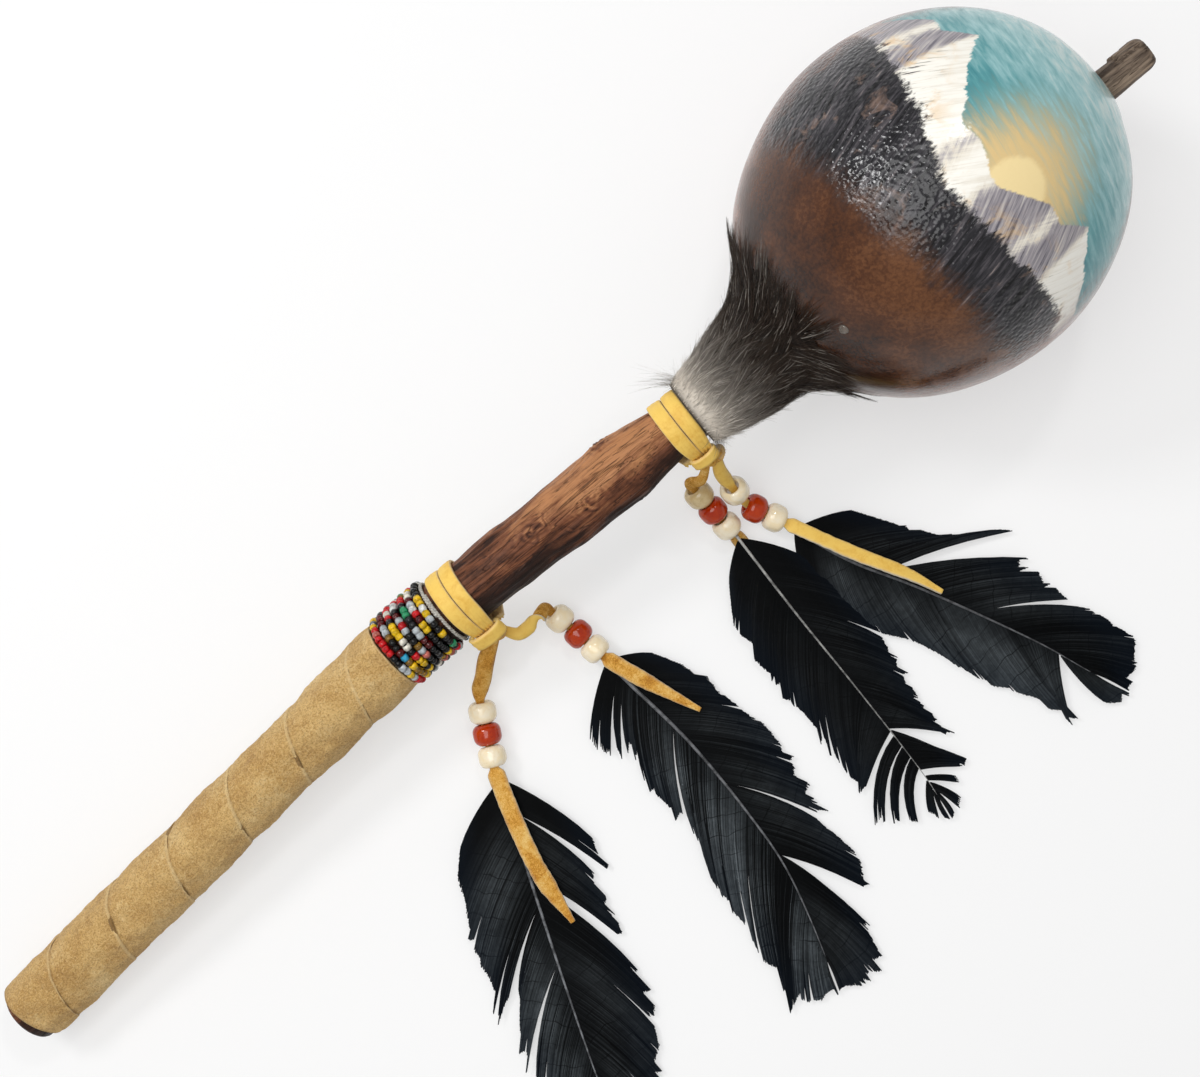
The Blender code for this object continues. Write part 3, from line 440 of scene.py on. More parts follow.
def knotFrame(tieAt):
    # middle of a knot, its length direction and its width direction, beside the branch
    band = max(float(stickRadius(tieAt + s * tie["pitch"])) for s in (-1, 1)) + branch["fit"] + tie["thickness"]
    degrees = 180.0 + tie["knotDrop"]
    outward = unit(skin(tieAt, degrees, 1.0) - centre(tieAt))
    alongBand = unit(skin(tieAt, degrees + 90.0, 1.0) - centre(tieAt))
    lengthAxis = unit(alongBand + outward * knot["lean"])
    widthAxis = unit(np.cross(outward, alongBand))
    return skin(tieAt, degrees, band + knot["standoff"] + 0.5 * knot["depth"]), lengthAxis, widthAxis


def layOut(plan):
    # routes of one tassel's lace and feather, and the beads' places on the lace
    middle, lengthAxis, _ = knotFrame(tie[plan["tie"]])
    end = middle + lengthAxis * (0.5 * knot["length"] + lace["gap"])
    end = end + np.array([plan["side"] * 0.5 * (lace["inKnot"] + lace["pairGap"]), 0.0, 0.0])
    ground = onTable(centre(tie[plan["tie"]]))
    ground[2] = 0.0
    leaving = [onTable(end), onTable(end + lengthAxis * lace["lead"])]
    plan["exit"] = leaving[0]
    plan["route"] = Route([*leaving, *(ground + np.array(point) * 0.001 for point in plan["lace"])])
    plan["tail"] = onTable(end - lengthAxis * lace["insideKnot"])
    first = plan["route"].reach[(plan["firstBead"] + 2) * plan["route"].perSpan]
    step = crowBead["length"] + crowBead["gap"]
    plan["beads"] = [first, first + step + plan["firstGap"], first + 2.0 * step + plan["firstGap"]]
    third = plan["beads"][2]
    axis = plan["route"].heading(third)
    up = unit(np.array([0.0, 0.0, 1.0]) - axis * axis[2])
    seat = plan["route"].at(third) - up * ((1.0 if plan["onTop"] else -1.0) * lace["quillDrop"])
    quillEnd = seat + axis * (0.6 * crowBead["length"])
    vane = [ground + np.array(point) * 0.001 for point in plan["rachis"]]
    vane = [point for point in vane if (point - quillEnd) @ axis > lace["quillClear"]]
    plan["shaft"] = Route([seat - axis * (0.35 * crowBead["length"]), quillEnd, *vane])
    plan["vaneFrom"] = plan["shaft"].length - Route(vane).length


for plan in tassels.values():
    layOut(plan)
print("tassels laid out")


# shared effects

black, white = (0, 0, 0, 1), (1, 1, 1, 1)


def makeNap():
    # tangled fibres of napped leather: a height and a mottled mask
    group = Group("napGrain", dict(Vector="Vector", Scale=("Float", 900.0)),
                  dict(Height="Float", Mottle="Float"))
    where, scale = group.given["Vector"], group.given["Scale"]
    fibres = group.noise(where, scale, 5.0, 0.62, 1.4)
    fine = group.noise(where, scale * 2.7, 3.0, 0.6, 0.6)
    blotch = group.noise(where, scale * 0.11, 4.0, 0.55, 0.5)
    return group.give(Height=fine * 0.35 + fibres * 0.65, Mottle=fibres * 0.55 + blotch * 0.45)


def makeSmooth():
    # grain side of tanned leather: pores, fine creases and worn, darker patches
    group = Group("leatherGrain", dict(Vector="Vector", Scale=("Float", 1500.0)),
                  dict(Height="Float", Wear="Float"))
    where, scale = group.given["Vector"], group.given["Scale"]
    crease = group.noise(where, scale * 0.35, 4.0, 0.6, 1.0)
    patch = group.noise(where, scale * 0.10, 3.0, 0.6, 0.8)
    return group.give(Height=crease * 0.6 + group.pebbles(where, scale) * 0.4, Wear=patch * 0.6 + crease * 0.4)


def makeMottle():
    # soft blotches between two colours
    inputs = dict(Vector="Vector", Scale=("Float", 100.0), Low=("Color", black), High=("Color", white))
    group = Group("mottle", inputs, dict(Color="Color", Mask="Float"))
    given = group.given
    mask = group.remap(group.noise(given["Vector"], given["Scale"], 5.0, 0.6, 0.4), 0.34, 0.66)
    return group.give(Color=group.mix(mask, given["Low"], given["High"]), Mask=mask)


def makeStrand():
    # colour along a hair or barb, from root to tip, with its own tone
    inputs = {"Along": ("Float", 0.0), "Tone": ("Float", 0.5), "Dark": ("Color", black),
              "Pale": ("Color", white), "Tip": ("Color", white), "Tip share": ("Float", 0.3)}
    group = Group("strandColour", inputs, dict(Color="Color"))
    given = group.given
    body = group.mix(given["Tone"], given["Dark"], given["Pale"])
    end = group.remap(given["Along"], 0.35, 1.0) * given["Tip share"]
    return group.give(Color=group.mix(end, body, given["Tip"]))


napGrain = makeNap()
leatherGrain = makeSmooth()
mottle = makeMottle()
strandColour = makeStrand()


def mottled(name, scale, low, high, rough, **fixed):
    # plain finish in two blotched colours, each with its own roughness
    look = Finish(name, **fixed)
    cloud = look.use(mottle, Vector=look.where, Scale=scale, Low=low, High=high)
    return look.set(Base_Color=cloud["Color"], Roughness=look.remap(cloud["Mask"], 0.0, 1.0, *rough))


# leather of the ties, knots and laces: one smooth side, one flesh side, pale cut edges
leatherTones = dict(smooth="F3CB66", worn="E4B24C", flesh="DFA445", fleshDark="B4762A", fleshPale="F2CB7C",
                    edge="C9BFAA")


def makeLeather(name):
    tones = leatherTones
    look = Finish(name, Specular_IOR_Level=0.22)
    flesh = look.read("flesh")
    nap = look.use(napGrain, Vector=look.where, Scale=1900.0)
    grain = look.use(leatherGrain, Vector=look.where, Scale=1700.0)
    smoothSide = look.mix(look.remap(grain["Wear"], 0.42, 0.74), tones["smooth"], tones["worn"])
    fleshSide = look.shades(nap["Mottle"], (0.40, tones["fleshDark"]), (0.50, tones["flesh"]),
                            (0.62, tones["fleshPale"]))
    colour = look.mix(flesh, smoothSide, fleshSide)
    return look.set(Base_Color=look.mix(look.read("cut"), colour, tones["edge"]),
                    Roughness=look.remap(flesh, 0.0, 1.0, 0.52, 0.95),
                    Normal=look.bump(grain["Height"] * 0.35 + nap["Height"] * flesh, 0.8, 0.0005))


tieLeather = makeLeather("tieLeather")
laceLeather = makeLeather("laceLeather")

# lace section: share of the half width and half thickness, and how much of it is a cut edge
laceSection = np.array((
    (-0.93, 1.0, 0.25), (-0.6, 1.06, 0.0), (0.0, 1.1, 0.0), (0.6, 1.06, 0.0), (0.93, 1.0, 0.25),
    (1.0, 0.45, 1.0), (1.0, -0.45, 1.0), (0.93, -1.0, 0.25), (0.6, -1.0, 0.0), (0.0, -1.0, 0.0),
    (-0.6, -1.0, 0.0), (-0.93, -1.0, 0.25), (-1.0, -0.45, 1.0), (-1.0, 0.45, 1.0)))


def laceWidth(plan, distance):
    half = 0.5 * crowBead["length"]
    toBeads = np.maximum((plan["beads"][0] - half - distance) / lace["flare"],
                         (distance - plan["beads"][2] - half) / lace["flapFlare"])
    width = lace["inBead"] + (plan["width"] - lace["inBead"]) * ease(toBeads)
    leaving = lace["inKnot"] + (plan["width"] - lace["inKnot"]) * ease(distance / lace["knotFlare"])
    left = np.clip((plan["route"].length - distance) / plan["taper"], 0.0, 1.0)
    return np.minimum(np.minimum(width, leaving), lace["tip"] + (plan["width"] - lace["tip"]) * left)


def makeLace(name, plan):
    route = plan["route"]
    third = plan["beads"][2]
    stops = np.linspace(0.0, route.length, round(route.length / lace["step"]))
    run = route.heading(stops)
    # the strip lies as flat as its slope lets it, turned by the way it runs over the table
    ahead = route.at(stops + lace["look"]) - route.at(stops - lace["look"])
    side = unit(np.stack([ahead[:, 1], -ahead[:, 0], 0.0 * ahead[:, 0]], axis=-1))
    side = unit(side - run * np.einsum("ij,ij->i", side, run)[:, None])
    normals = np.cross(side, run)
    middle = route.at(stops)
    inset = lace["inset"] * (1.0 if plan["onTop"] else -1.0)
    middle += normals * (inset * ease((stops - third + 1.5 * crowBead["length"]) / crowBead["length"]))[:, None]
    middle = np.vstack([plan["tail"], middle])
    stops = np.concatenate([[0.0], stops])
    run, normals = (np.vstack([rows[:1], rows]) for rows in (run, normals))
    side = np.cross(run, normals)
    # a half turn of the strip, which shows its other side near the knot
    turned = np.zeros(len(stops))
    if plan["flip"]:
        start, stop = (share * 0.001 for share in plan["flip"])
        turned = math.pi * (1.0 - ease((stops - start) / (stop - start)))
    sway = lace["sway"] * np.sin(stops * lace["swayRate"]) + plan["roll"]
    turned = turned + sway * ease((stops - third) / lace["swayIn"])
    across = side * np.cos(turned)[:, None] + normals * np.sin(turned)[:, None]
    up = normals * np.cos(turned)[:, None] - side * np.sin(turned)[:, None]
    wide = 0.5 * laceWidth(plan, stops)
    ragged = unevenness(middle, lace["raggedSize"], 31 + len(name)) * ease((stops - third) / 0.01)
    ragged = 1.0 + lace["ragged"] * ragged
    section = laceSection
    # folded lengthwise between the knot and the beads: the section lies on an arc
    toBead = ease((stops - plan["beads"][0] + lace["foldEnd"]) / lace["foldOut"])
    fold = plan["fold"] * ease(stops / lace["foldIn"]) * (1.0 - toBead)
    fold = (0.01 + fold * np.abs(np.cos(turned))) * np.where(np.cos(turned) < 0.0, -1.0, 1.0)
    bent = fold[:, None] * section[None, :, 0]
    half = (wide * ragged / fold)[:, None]
    rings = middle[:, None] + across[:, None] * (half * np.sin(bent))[..., None]
    rings = rings + up[:, None] * (half * (np.cos(bent) - np.cos(0.5 * fold)[:, None]))[..., None]
    face = up[:, None] * np.cos(bent)[..., None] + across[:, None] * np.sin(bent)[..., None]
    rings = rings + face * (0.5 * lace["thickness"]) * section[None, :, 1:2]
    rings[..., 2] = np.maximum(rings[..., 2], lace["lowest"])
    mesh = loft(f"{name}Lace", rings)
    upper = np.tile(section[:, 1] > 0.0, len(rings)).astype(float)
    flesh = upper if plan["fleshUp"] else 1.0 - upper
    mark(mesh, "flesh", flesh)
    mark(mesh, "cut", np.tile(section[:, 2], len(rings)))
    piece = addPiece(f"{name}_laceStrip", mesh, laceLeather, f"{name}_tassel", "yellow_leather", f"{name}_lace")
    return piece, middle


laces = {name: makeLace(name, plan) for name, plan in tassels.items()}
print("laces made")

# glass crow beads: a barrel with rounded ends and a plain bore
beadTones = dict(
    cream=(("F8E5BD", "FBEFD5", "E8D0A2"), 0.05, 0.25),
    red=(("A82A04", "B83A08", "801C03"), 0.04, 0.0),
    amber=(("CDB27E", "DDC797", "B0925C"), 0.12, 0.35),
)


def makeGlass(name):
    (base, pale, deep), rough, coat = beadTones[name]
    look = Finish(f"{name}Glass", Specular_IOR_Level=0.5, Coat_Weight=coat, Coat_Roughness=0.03)
    drawn = look.placed(look.where, scale=(1.0, 1.0, 2.2))
    swirl = look.use(mottle, Vector=drawn, Scale=260.0, Low=base, High=pale)
    pits = look.noise(look.where, 900.0, 3.0, 0.6, 0.3)
    return look.set(Base_Color=look.mix(look.remap(pits, 0.58, 0.72, 0.0, 0.45), swirl["Color"], deep),
                    Roughness=look.remap(pits, 0.3, 0.8, rough, rough + 0.07),
                    Normal=look.bump(look.noise(look.where, 420.0, 2.0, 0.5), 0.12, 0.0006))


beadGlass = {name: makeGlass(name) for name in beadTones}


def barrel(radius, half, bore, sides, swell=0.26, points=15):
    # closed profile turned about Z
    t = np.linspace(-1.0, 1.0, points)
    outer = [(radius * (1.0 - swell * abs(v) ** 3.4), half * 0.93 * v) for v in t]
    lip = [(0.64 * radius, half), (bore * 1.12, half * 0.97), (bore, half * 0.84)]
    return spin([(r, -h) for r, h in lip[::-1]] + outer + lip, sides)


def makeBeads(name, plan):
    made = []
    draw = np.random.default_rng(len(name) * 7)
    for number, distance in enumerate(plan["beads"], start=1):
        shape = barrel(crowBead["radius"], 0.5 * crowBead["length"], crowBead["bore"], crowBead["sides"])
        shape = shape * (1.0 + 0.012 * unevenness(shape, 0.006, int(draw.integers(999))))[..., None]
        axis = Vector(plan["route"].heading(distance))
        turn = np.array(axis.to_track_quat("Z", "X").to_matrix())
        rings = shape @ turn.T + plan["route"].at(distance)
        colour = "red" if number == 2 else "amber" if (name, number) == ("upper_left", 1) else "cream"
        mesh = loft(f"{name}Bead{number}", rings, ringLoop=True)
        slotName = "red_glass" if number == 2 else "cream_glass"
        node = f"{name}_bead_{number}"
        made.append(addPiece(f"{node}_glass", mesh, beadGlass[colour], f"{name}_tassel", slotName, node))
    return made


crowBeads = {name: makeBeads(name, plan) for name, plan in tassels.items()}
print("crow beads made")


# strands: a tree that lays one tapering strip on every root and bends it by the root's own vectors
def makeStrandTree():
    tree = Group("strandCloud", dict(Roots="Geometry", Strip="Object", Width="Float", Thickness="Float",
                                     Material="Material"), dict(Strands="Geometry"), "Geometry")
    given = tree.given
    strip = tree.add("GeometryNodeObjectInfo", {"Object": given["Strip"]}, "Geometry")
    laid = tree.add("GeometryNodeInstanceOnPoints", {"Points": given["Roots"], "Instance": strip})
    real = tree.add("GeometryNodeRealizeInstances", {"Geometry": laid})
    share = tree.split(tree.named("strip"))
    place = tree.named("root")
    for name, factor in (("run", share["X"]), ("curl", share["X"] ** 2.0),
                         ("across", share["Y"] * given["Width"]),
                         ("rise", share["Z"] * given["Thickness"])):
        part = tree.add("ShaderNodeVectorMath", {0: tree.named(name), "Scale": factor}, operation="SCALE")
        place = tree.add("ShaderNodeVectorMath", {0: place, 1: part}, operation="ADD")
    moved = tree.add("GeometryNodeSetPosition", {"Geometry": real, "Position": place})
    finished = tree.add("GeometryNodeSetMaterial", {"Geometry": moved, "Material": given["Material"]})
    return tree.give(Strands=finished)


strandTree = makeStrandTree()


def grow(name, tree, places, marks, **values):
    # one plain mesh of what a tree lays on every place; marks is a dictionary of arrays
    cloud = bpy.data.meshes.new(f"{name}Places")
    cloud.from_pydata(places.tolist(), [], [])
    for key, row in marks.items():
        mark(cloud, key, row)
    holder = bpy.data.objects.new(f"{name}Holder", cloud)
    scene.collection.objects.link(holder)
    modifier = holder.modifiers.new("grown", "NODES")
    modifier.node_group = tree
    for socket in tree.interface.items_tree:
        if socket.in_out == "INPUT" and socket.name in values:
            modifier[socket.identifier] = values[socket.name]
    graph = bpy.context.evaluated_depsgraph_get()
    mesh = bpy.data.meshes.new_from_object(holder.evaluated_get(graph), depsgraph=graph)
    mesh.name = name
    holder.modifiers.remove(modifier)
    bpy.data.objects.remove(holder)
    return mesh


def makeStrip(name, widths, heights=None, smooth=False):
    # three-sided strip: two edges and a ridge, with a width at even steps along it
    widths = np.asarray(widths, float)
    s = np.linspace(0.0, 1.0, len(widths))
    heights = widths if heights is None else np.asarray(heights, float)
    rings = np.stack([np.stack([s, -widths, 0 * s], -1), np.stack([s, widths, 0 * s], -1),
                      np.stack([s, 0 * s, heights], -1)], axis=1)
    mesh = loft(name, rings, smooth=smooth)
    mark(mesh, "strip", rings.reshape(-1, 3))
    return bpy.data.objects.new(name, mesh)


def growStrands(name, roots, strip, width, thickness, material):
    mesh = grow(name, strandTree, roots["root"], roots, Strip=strip, Width=width, Thickness=thickness,
                Material=material)
    for key in ("root", "run", "curl", "across", "rise"):
        mesh.attributes.remove(mesh.attributes[key])
    return mesh


# feathers: barbs along both sides of a tapering shaft
feather = dict(
    spacing=0.00034, width=0.00043, thickness=0.00006, shaftRadius=0.00085, shaftTip=0.22,
    angles=((0.0, 58.0), (0.10, 50.0), (0.30, 43.0), (0.60, 40.0), (0.85, 33.0), (0.95, 24.0), (1.0, 10.0)),
    curl=0.16, edgeDrop=0.0014, dropReach=0.028, clearance=0.0003, roll=0.05, lift=0.10, mostLift=0.0012,
    shortClump=(3, 9), longClump=(10, 30), shortShare=0.6, clumpLean=0.35, clumpFan=0.7, tooth=(-0.02, 0.15),
    clumpRagged=0.028, barbRagged=0.006, stray=0.004, strayReach=(0.9, 1.06), strayLean=3.0, least=0.0015,
    leastAngle=4.0, fingerShare=0.90, fingerFan=4.0, fingerHook=3.0, rodSides=10, rodRows=90, rodLift=0.00012,
)
# each side of a vane: share of the shaft, length of the barbs there in millimetres and degrees that they
# lean out; a jump is a split, 0 a gap; a pair for each side gives how grey its barbs are drawn, a painted
# sheen for light caught on the vane, and how much that varies
vanes = dict(
    upper_left=dict(
        left=((0.00, 20, -12), (0.06, 24, -4), (0.12, 26, 0), (0.31, 28, 0), (0.40, 26, 0), (0.55, 23.5, 0),
              (0.64, 26.5, 0), (0.70, 22, 12), (0.745, 18.2, 21), (0.746, 0, 0), (0.754, 0, 0),
              (0.755, 24.5, 0), (0.80, 20.5, 12), (0.85, 17, 24), (0.905, 12.5, 38), (0.906, 0, 0),
              (0.930, 0, 0), (0.931, 9, 40), (0.946, 9.5, 34), (0.947, 0, 0), (0.955, 0, 0), (0.956, 10.5, 18),
              (0.975, 10, 12), (0.976, 0, 0), (0.982, 0, 0), (0.983, 10, 4), (1.00, 9.5, 0)),
        right=((0.00, 14, 0), (0.04, 24, 0), (0.16, 28, 0), (0.34, 31, 0), (0.43, 34, 0), (0.55, 34, 0),
               (0.62, 29, 10), (0.69, 23.5, 22), (0.755, 19.5, 35), (0.756, 0, 0), (0.772, 0, 0),
               (0.773, 24, 42), (0.90, 15, 32), (0.905, 0, 0), (0.945, 0, 0), (0.946, 10, 18), (0.970, 10.5, 9),
               (0.971, 0, 0), (0.978, 0, 0), (0.979, 10, 3), (1.00, 9, 0)),
        comb=(0.773, 0.905, 3), paintedSheen=((0.012, 0.03), (0.012, 0.03)), fray=1.0, tip=0.0060, shaft="C4C4C0",
        thin=0.60),
    upper_right=dict(
        left=((0.00, 18, 0), (0.07, 25, 0), (0.15, 32, 0), (0.22, 37, 1), (0.292, 42, 3), (0.296, 45, -9),
              (0.36, 38, -3), (0.42, 34, 0), (0.52, 31, 0), (0.605, 30, 1), (0.609, 33, -3), (0.70, 33.8, 0),
              (0.79, 33.5, 0), (0.85, 28, 0), (0.91, 23, 0), (0.97, 15.5, 0), (1.00, 13, 0)),
        right=((0.00, 14, 0), (0.04, 20, 0), (0.10, 21, 0), (0.16, 22.5, 0), (0.22, 26, 0), (0.28, 30, 0),
               (0.34, 33.8, 0), (0.49, 33, 0), (0.60, 31.5, 0), (0.72, 34, 0), (0.80, 27.5, 13),
               (0.888, 20.2, 29), (0.889, 0, 0), (0.896, 0, 0), (0.897, 20, -3), (0.97, 17, 0), (1.00, 13, 0)),
        comb=None, paintedSheen=((0.04, 0.05), (0.16, 0.08)), fray=0.9, tip=0.0125, shaft="77797C", thin=0.85),
    lower_right=dict(
        left=((0.00, 13, 10), (0.05, 22, 4), (0.12, 27, 0), (0.19, 30, 0), (0.31, 33.5, 0), (0.455, 32, 1),
              (0.459, 32, -2), (0.55, 35, 0), (0.64, 35.5, 0), (0.692, 30.3, 7), (0.696, 28, -9),
              (0.73, 30.2, -2), (0.79, 33, 0), (0.85, 29.5, 0), (0.91, 24, 0), (0.97, 14, 0), (1.00, 11, 0)),
        right=((0.00, 22, 6), (0.02, 27, 3), (0.038, 25, 3), (0.0385, 0, 0), (0.041, 0, 0), (0.0415, 21, 1),
               (0.062, 26, 1), (0.0625, 22, -2), (0.085, 19, 1), (0.0855, 24, -2), (0.104, 22, 2),
               (0.1045, 31, -2), (0.19, 30.5, 0), (0.22, 27.2, 0), (0.248, 27, 2), (0.252, 33, -2),
               (0.31, 41, 0), (0.40, 40, 0), (0.52, 42, 0), (0.60, 44, 0), (0.67, 44, 0), (0.73, 42, 0),
               (0.79, 36, 0), (0.85, 29, 0), (0.91, 22.5, 0), (0.97, 15, 0), (1.00, 12, 0)),
        comb=None, paintedSheen=((0.03, 0.05), (0.09, 0.22)), fray=1.2, tip=0.0130, shaft="8A8C90", thin=0.85),
    lower_left=dict(
        left=((0.00, 33, -10), (0.088, 34, 0), (0.092, 31, -5), (0.25, 35, 2), (0.280, 33, 4), (0.284, 40, -7),
              (0.31, 41, 0), (0.52, 41, 0), (0.61, 38, 0), (0.75, 34, 0), (0.85, 30, 0), (0.91, 24, 0),
              (0.97, 16, 0), (1.00, 13, 0)),
        right=((0.00, 22, 0), (0.04, 29, 0), (0.07, 31.5, 0), (0.16, 35.8, 0), (0.25, 36.5, 0), (0.34, 39.5, 1),
               (0.365, 30, 2), (0.369, 27, -2), (0.40, 26.8, 0), (0.45, 34, 0), (0.52, 34, 1), (0.535, 34, 3),
               (0.539, 34, -2), (0.75, 31, 0), (0.85, 29, 0), (0.91, 23, 0), (0.97, 16, 0), (1.00, 13, 0)),
        comb=None, paintedSheen=((0.04, 0.05), (0.11, 0.11)), fray=1.1, tip=0.0100, shaft="9A9DA2", thin=0.85),
)


def makeVaneFinish():
    look = Finish("featherVane", Specular_IOR_Level=0.05)
    along = look.split(look.read("strip", "Vector"))["X"]
    # growth bars cross the barbs at even distances from the shaft's base
    phase = along * look.read("reach") * 1.1 + look.read("bar")
    wobble = look.noise(look.where, 120.0, 2.0) * 0.0060 + phase
    line = look.remap(look.calc("PINGPONG", wobble, 0.0034), 0.0, 0.00028, 1.0, 0.0)
    streak = look.noise(look.where, 700.0, 4.0, 0.65, 0.5)
    patch = look.noise(look.where, 95.0, 3.0, 0.55, 0.6)
    # the tone mark is painted sheen: it greys the black barbs where light would catch them
    tone = look.read("tone") * look.remap(streak, 0.30, 0.70, 0.82, 1.15)
    tone = tone * look.remap(patch, 0.34, 0.62, 0.72, 1.18) * look.remap(along, 0.02, 0.40, 0.40, 1.0)
    barred = tone * (1.0 - line * look.remap(patch, 0.38, 0.58, 0.20, 0.85))
    # the bluish colour towards the barbs' tips is painted sheen as well
    colour = look.use(strandColour, Along=along, Tone=barred, Dark="020304", Pale="737B80", Tip="101B28")
    return look.set(Base_Color=colour["Color"], Roughness=look.remap(streak, 0.3, 0.7, 0.36, 0.52))


def makeShaftFinish(name, code):
    look = Finish(name, Specular_IOR_Level=0.5)
    cloud = look.use(mottle, Vector=look.where, Scale=320.0, Low="15171A", High=code)
    pale = look.mix(look.remap(look.read("along"), 0.0, 0.35, 0.65, 0.25), "0D0E10", code)
    return look.set(Base_Color=look.mix(0.5, pale, cloud["Color"]),
                    Roughness=look.remap(cloud["Mask"], 0.0, 1.0, 0.28, 0.45))


featherVane = makeVaneFinish()
barbStrip = makeStrip("barbStrip", (0.9, 1.0, 1.0, 1.0, 0.97, 0.86, 0.35), (1.0, 1.0, 1.0, 0.9, 0.8, 0.6, 0.3))


def barbRoots(plan, vane, seed):
    # roots of all barbs of one feather, side by side, in clumps that share their lean
    draw = np.random.default_rng(seed)
    shaft = plan["shaft"]
    usable = shaft.length - vane["tip"] - plan["vaneFrom"]
    up = np.array([0.0, 0.0, 1.0])
    columns = {}
    for sign, key, paintedSheen in ((1.0, "left", vane["paintedSheen"][0]), (-1.0, "right", vane["paintedSheen"][1])):
        rows = np.array(vane[key])
        count = round(usable / feather["spacing"])
        share = np.linspace(0.0, 0.998, count)
        angle = spread(share, feather["angles"]) + np.interp(share, rows[:, 0], rows[:, 2])
        reach = np.interp(share, rows[:, 0], rows[:, 1]) * 0.001
        row = np.searchsorted(rows[:, 0], share, side="right") - 1
        step = np.diff(rows, axis=0)[np.minimum(row, len(rows) - 2)]
        kept = (reach > feather["least"]) & ((step[:, 0] > 0.0055) | (np.abs(step[:, 2]) < 2.5))
        # clumps: barbs that hook together, longer at one end
        starts = [0]
        while starts[-1] < count:
            short = draw.random() < feather["shortShare"]
            starts.append(starts[-1] + int(draw.integers(*feather["shortClump" if short else "longClump"])))
        clump = np.searchsorted(starts, np.arange(count), side="right") - 1
        sizes = np.array([*np.diff(starts), 8])[clump]
        inside = (np.arange(count) - np.array(starts)[clump] + 0.5) / sizes - 0.5
        fray = vane["fray"]
        lean = draw.normal(0.0, feather["clumpLean"], len(starts))[clump]
        angle = angle + lean * fray + inside * (feather["clumpFan"] * fray)
        tooth = draw.uniform(*feather["tooth"], len(starts))[clump]
        ragged = draw.normal(0.0, feather["clumpRagged"], len(starts))[clump] - tooth * inside
        ragged = ragged + draw.normal(0.0, feather["barbRagged"], count)
        reach = reach * (1.0 + ragged * fray)
        stray = draw.random(count) < feather["stray"] * fray
        reach = np.where(stray, reach * draw.uniform(*feather["strayReach"], count), reach)
        angle = np.where(stray, angle + draw.normal(0.0, feather["strayLean"], count), angle)
        hook = np.ones(count)
        if vane["comb"] and sign < 0.0:
            # separate fingers whose barbs close up towards their tips
            start, stop, fingers = vane["comb"]
            phase = (share - start) / (stop - start) * fingers % 1.0
            combed = (share > start) & (share < stop)
            finger = feather["fingerShare"]
            kept = kept & ~(combed & (phase > finger))
            angle = np.where(combed, angle + (phase / finger - 0.5) * feather["fingerFan"], angle)
            hook = np.where(combed, feather["fingerHook"], 1.0)
        angle = np.maximum(angle, feather["leastAngle"])
        distance = plan["vaneFrom"] + share * usable
        middle = shaft.at(distance)
        flat = unit(shaft.heading(distance) * np.array([1.0, 1.0, 0.0]))
        side = np.stack([-flat[:, 1], flat[:, 0], 0 * flat[:, 0]], axis=-1) * sign
        turn = np.radians(angle)[:, None]
        towards = flat * np.cos(turn) + side * np.sin(turn)
        inPlane = -flat * np.sin(turn) + side * np.cos(turn)
        thick = feather["shaftRadius"] * (1.0 - (1.0 - feather["shaftTip"]) * share)
        root = middle + side * (0.55 * thick)[:, None]
        # the vane is cupped: it leaves the shaft level and drops to its edge
        low = np.maximum(middle[:, 2] - feather["edgeDrop"] - feather["clearance"], 0.0)
        drop = np.minimum(feather["edgeDrop"] * reach / feather["dropReach"], low)
        drop = drop + draw.uniform(-0.00002, 0.00002, count)
        bend = feather["curl"] * hook * (1.0 + 0.035 * draw.normal(size=len(starts))[clump]) * reach
        lift = np.minimum(feather["lift"] * reach * ease((share - 0.05) / 0.3), feather["mostLift"])
        # painted sheen: each barb's tone is how grey it is drawn for light caught on the vane, in patches, fainter
        # at the vane's ends
        wave = unevenness(root, 0.018, seed + 5)
        tone = np.clip(paintedSheen[0] + paintedSheen[1] * (0.8 * wave + 0.60 * draw.normal(size=count)), 0.0, 1.0)
        fade = ease((share - 0.04) / 0.12) * (1.0 - 0.35 * ease((share - 0.80) / 0.2))
        for column, values in dict(
                root=root, run=towards * reach[:, None] + up * lift[:, None],
                curl=-inPlane * bend[:, None] - up * (lift + drop)[:, None],
                across=inPlane * math.cos(feather["roll"]) - up * math.sin(feather["roll"]),
                rise=np.tile(up, (count, 1)), tone=tone * fade, bar=distance, reach=reach).items():
            columns.setdefault(column, []).append(values[kept])
    return {column: np.concatenate(values) for column, values in columns.items()}


def makeFeather(name, plan, seed):
    vane = vanes[name]
    shaft = plan["shaft"]
    body = f"{name}_tassel"
    roots = barbRoots(plan, vane, seed)
    mesh = growStrands(f"{name}Vane", roots, barbStrip, feather["width"], feather["thickness"], featherVane)
    piece = addPiece(f"{name}_vane", mesh, None, body, "black_feather", f"{name}_feather")
    stops = np.linspace(0.0, shaft.length - vane["tip"], feather["rodRows"])
    share = stops / stops[-1]
    radius = feather["shaftRadius"] * vane["thin"] * (1.0 - (1.0 - feather["shaftTip"]) * share)
    path = shaft.at(stops) + np.array([0.0, 0.0, feather["rodLift"]])
    rod = tube(f"{name}Shaft", path, radius, feather["rodSides"])
    mark(rod, "along", np.repeat(share, feather["rodSides"]))
    rodPiece = addPiece(f"{name}_shaft", rod, makeShaftFinish(f"{name}ShaftHorn", vane["shaft"]), body,
                        "black_feather")
    return [piece, rodPiece]


feathers = {name: makeFeather(name, plan, 40 + i) for i, (name, plan) in enumerate(tassels.items())}
print("feathers made")


# branch wood and bark
barkTones = dict(light="B57E54", mid="774830", dark="351E14", black="1C100B", tip="6C5D50", tipDark="3C3028",
                 tipPale="958371", raw="8A6A48")


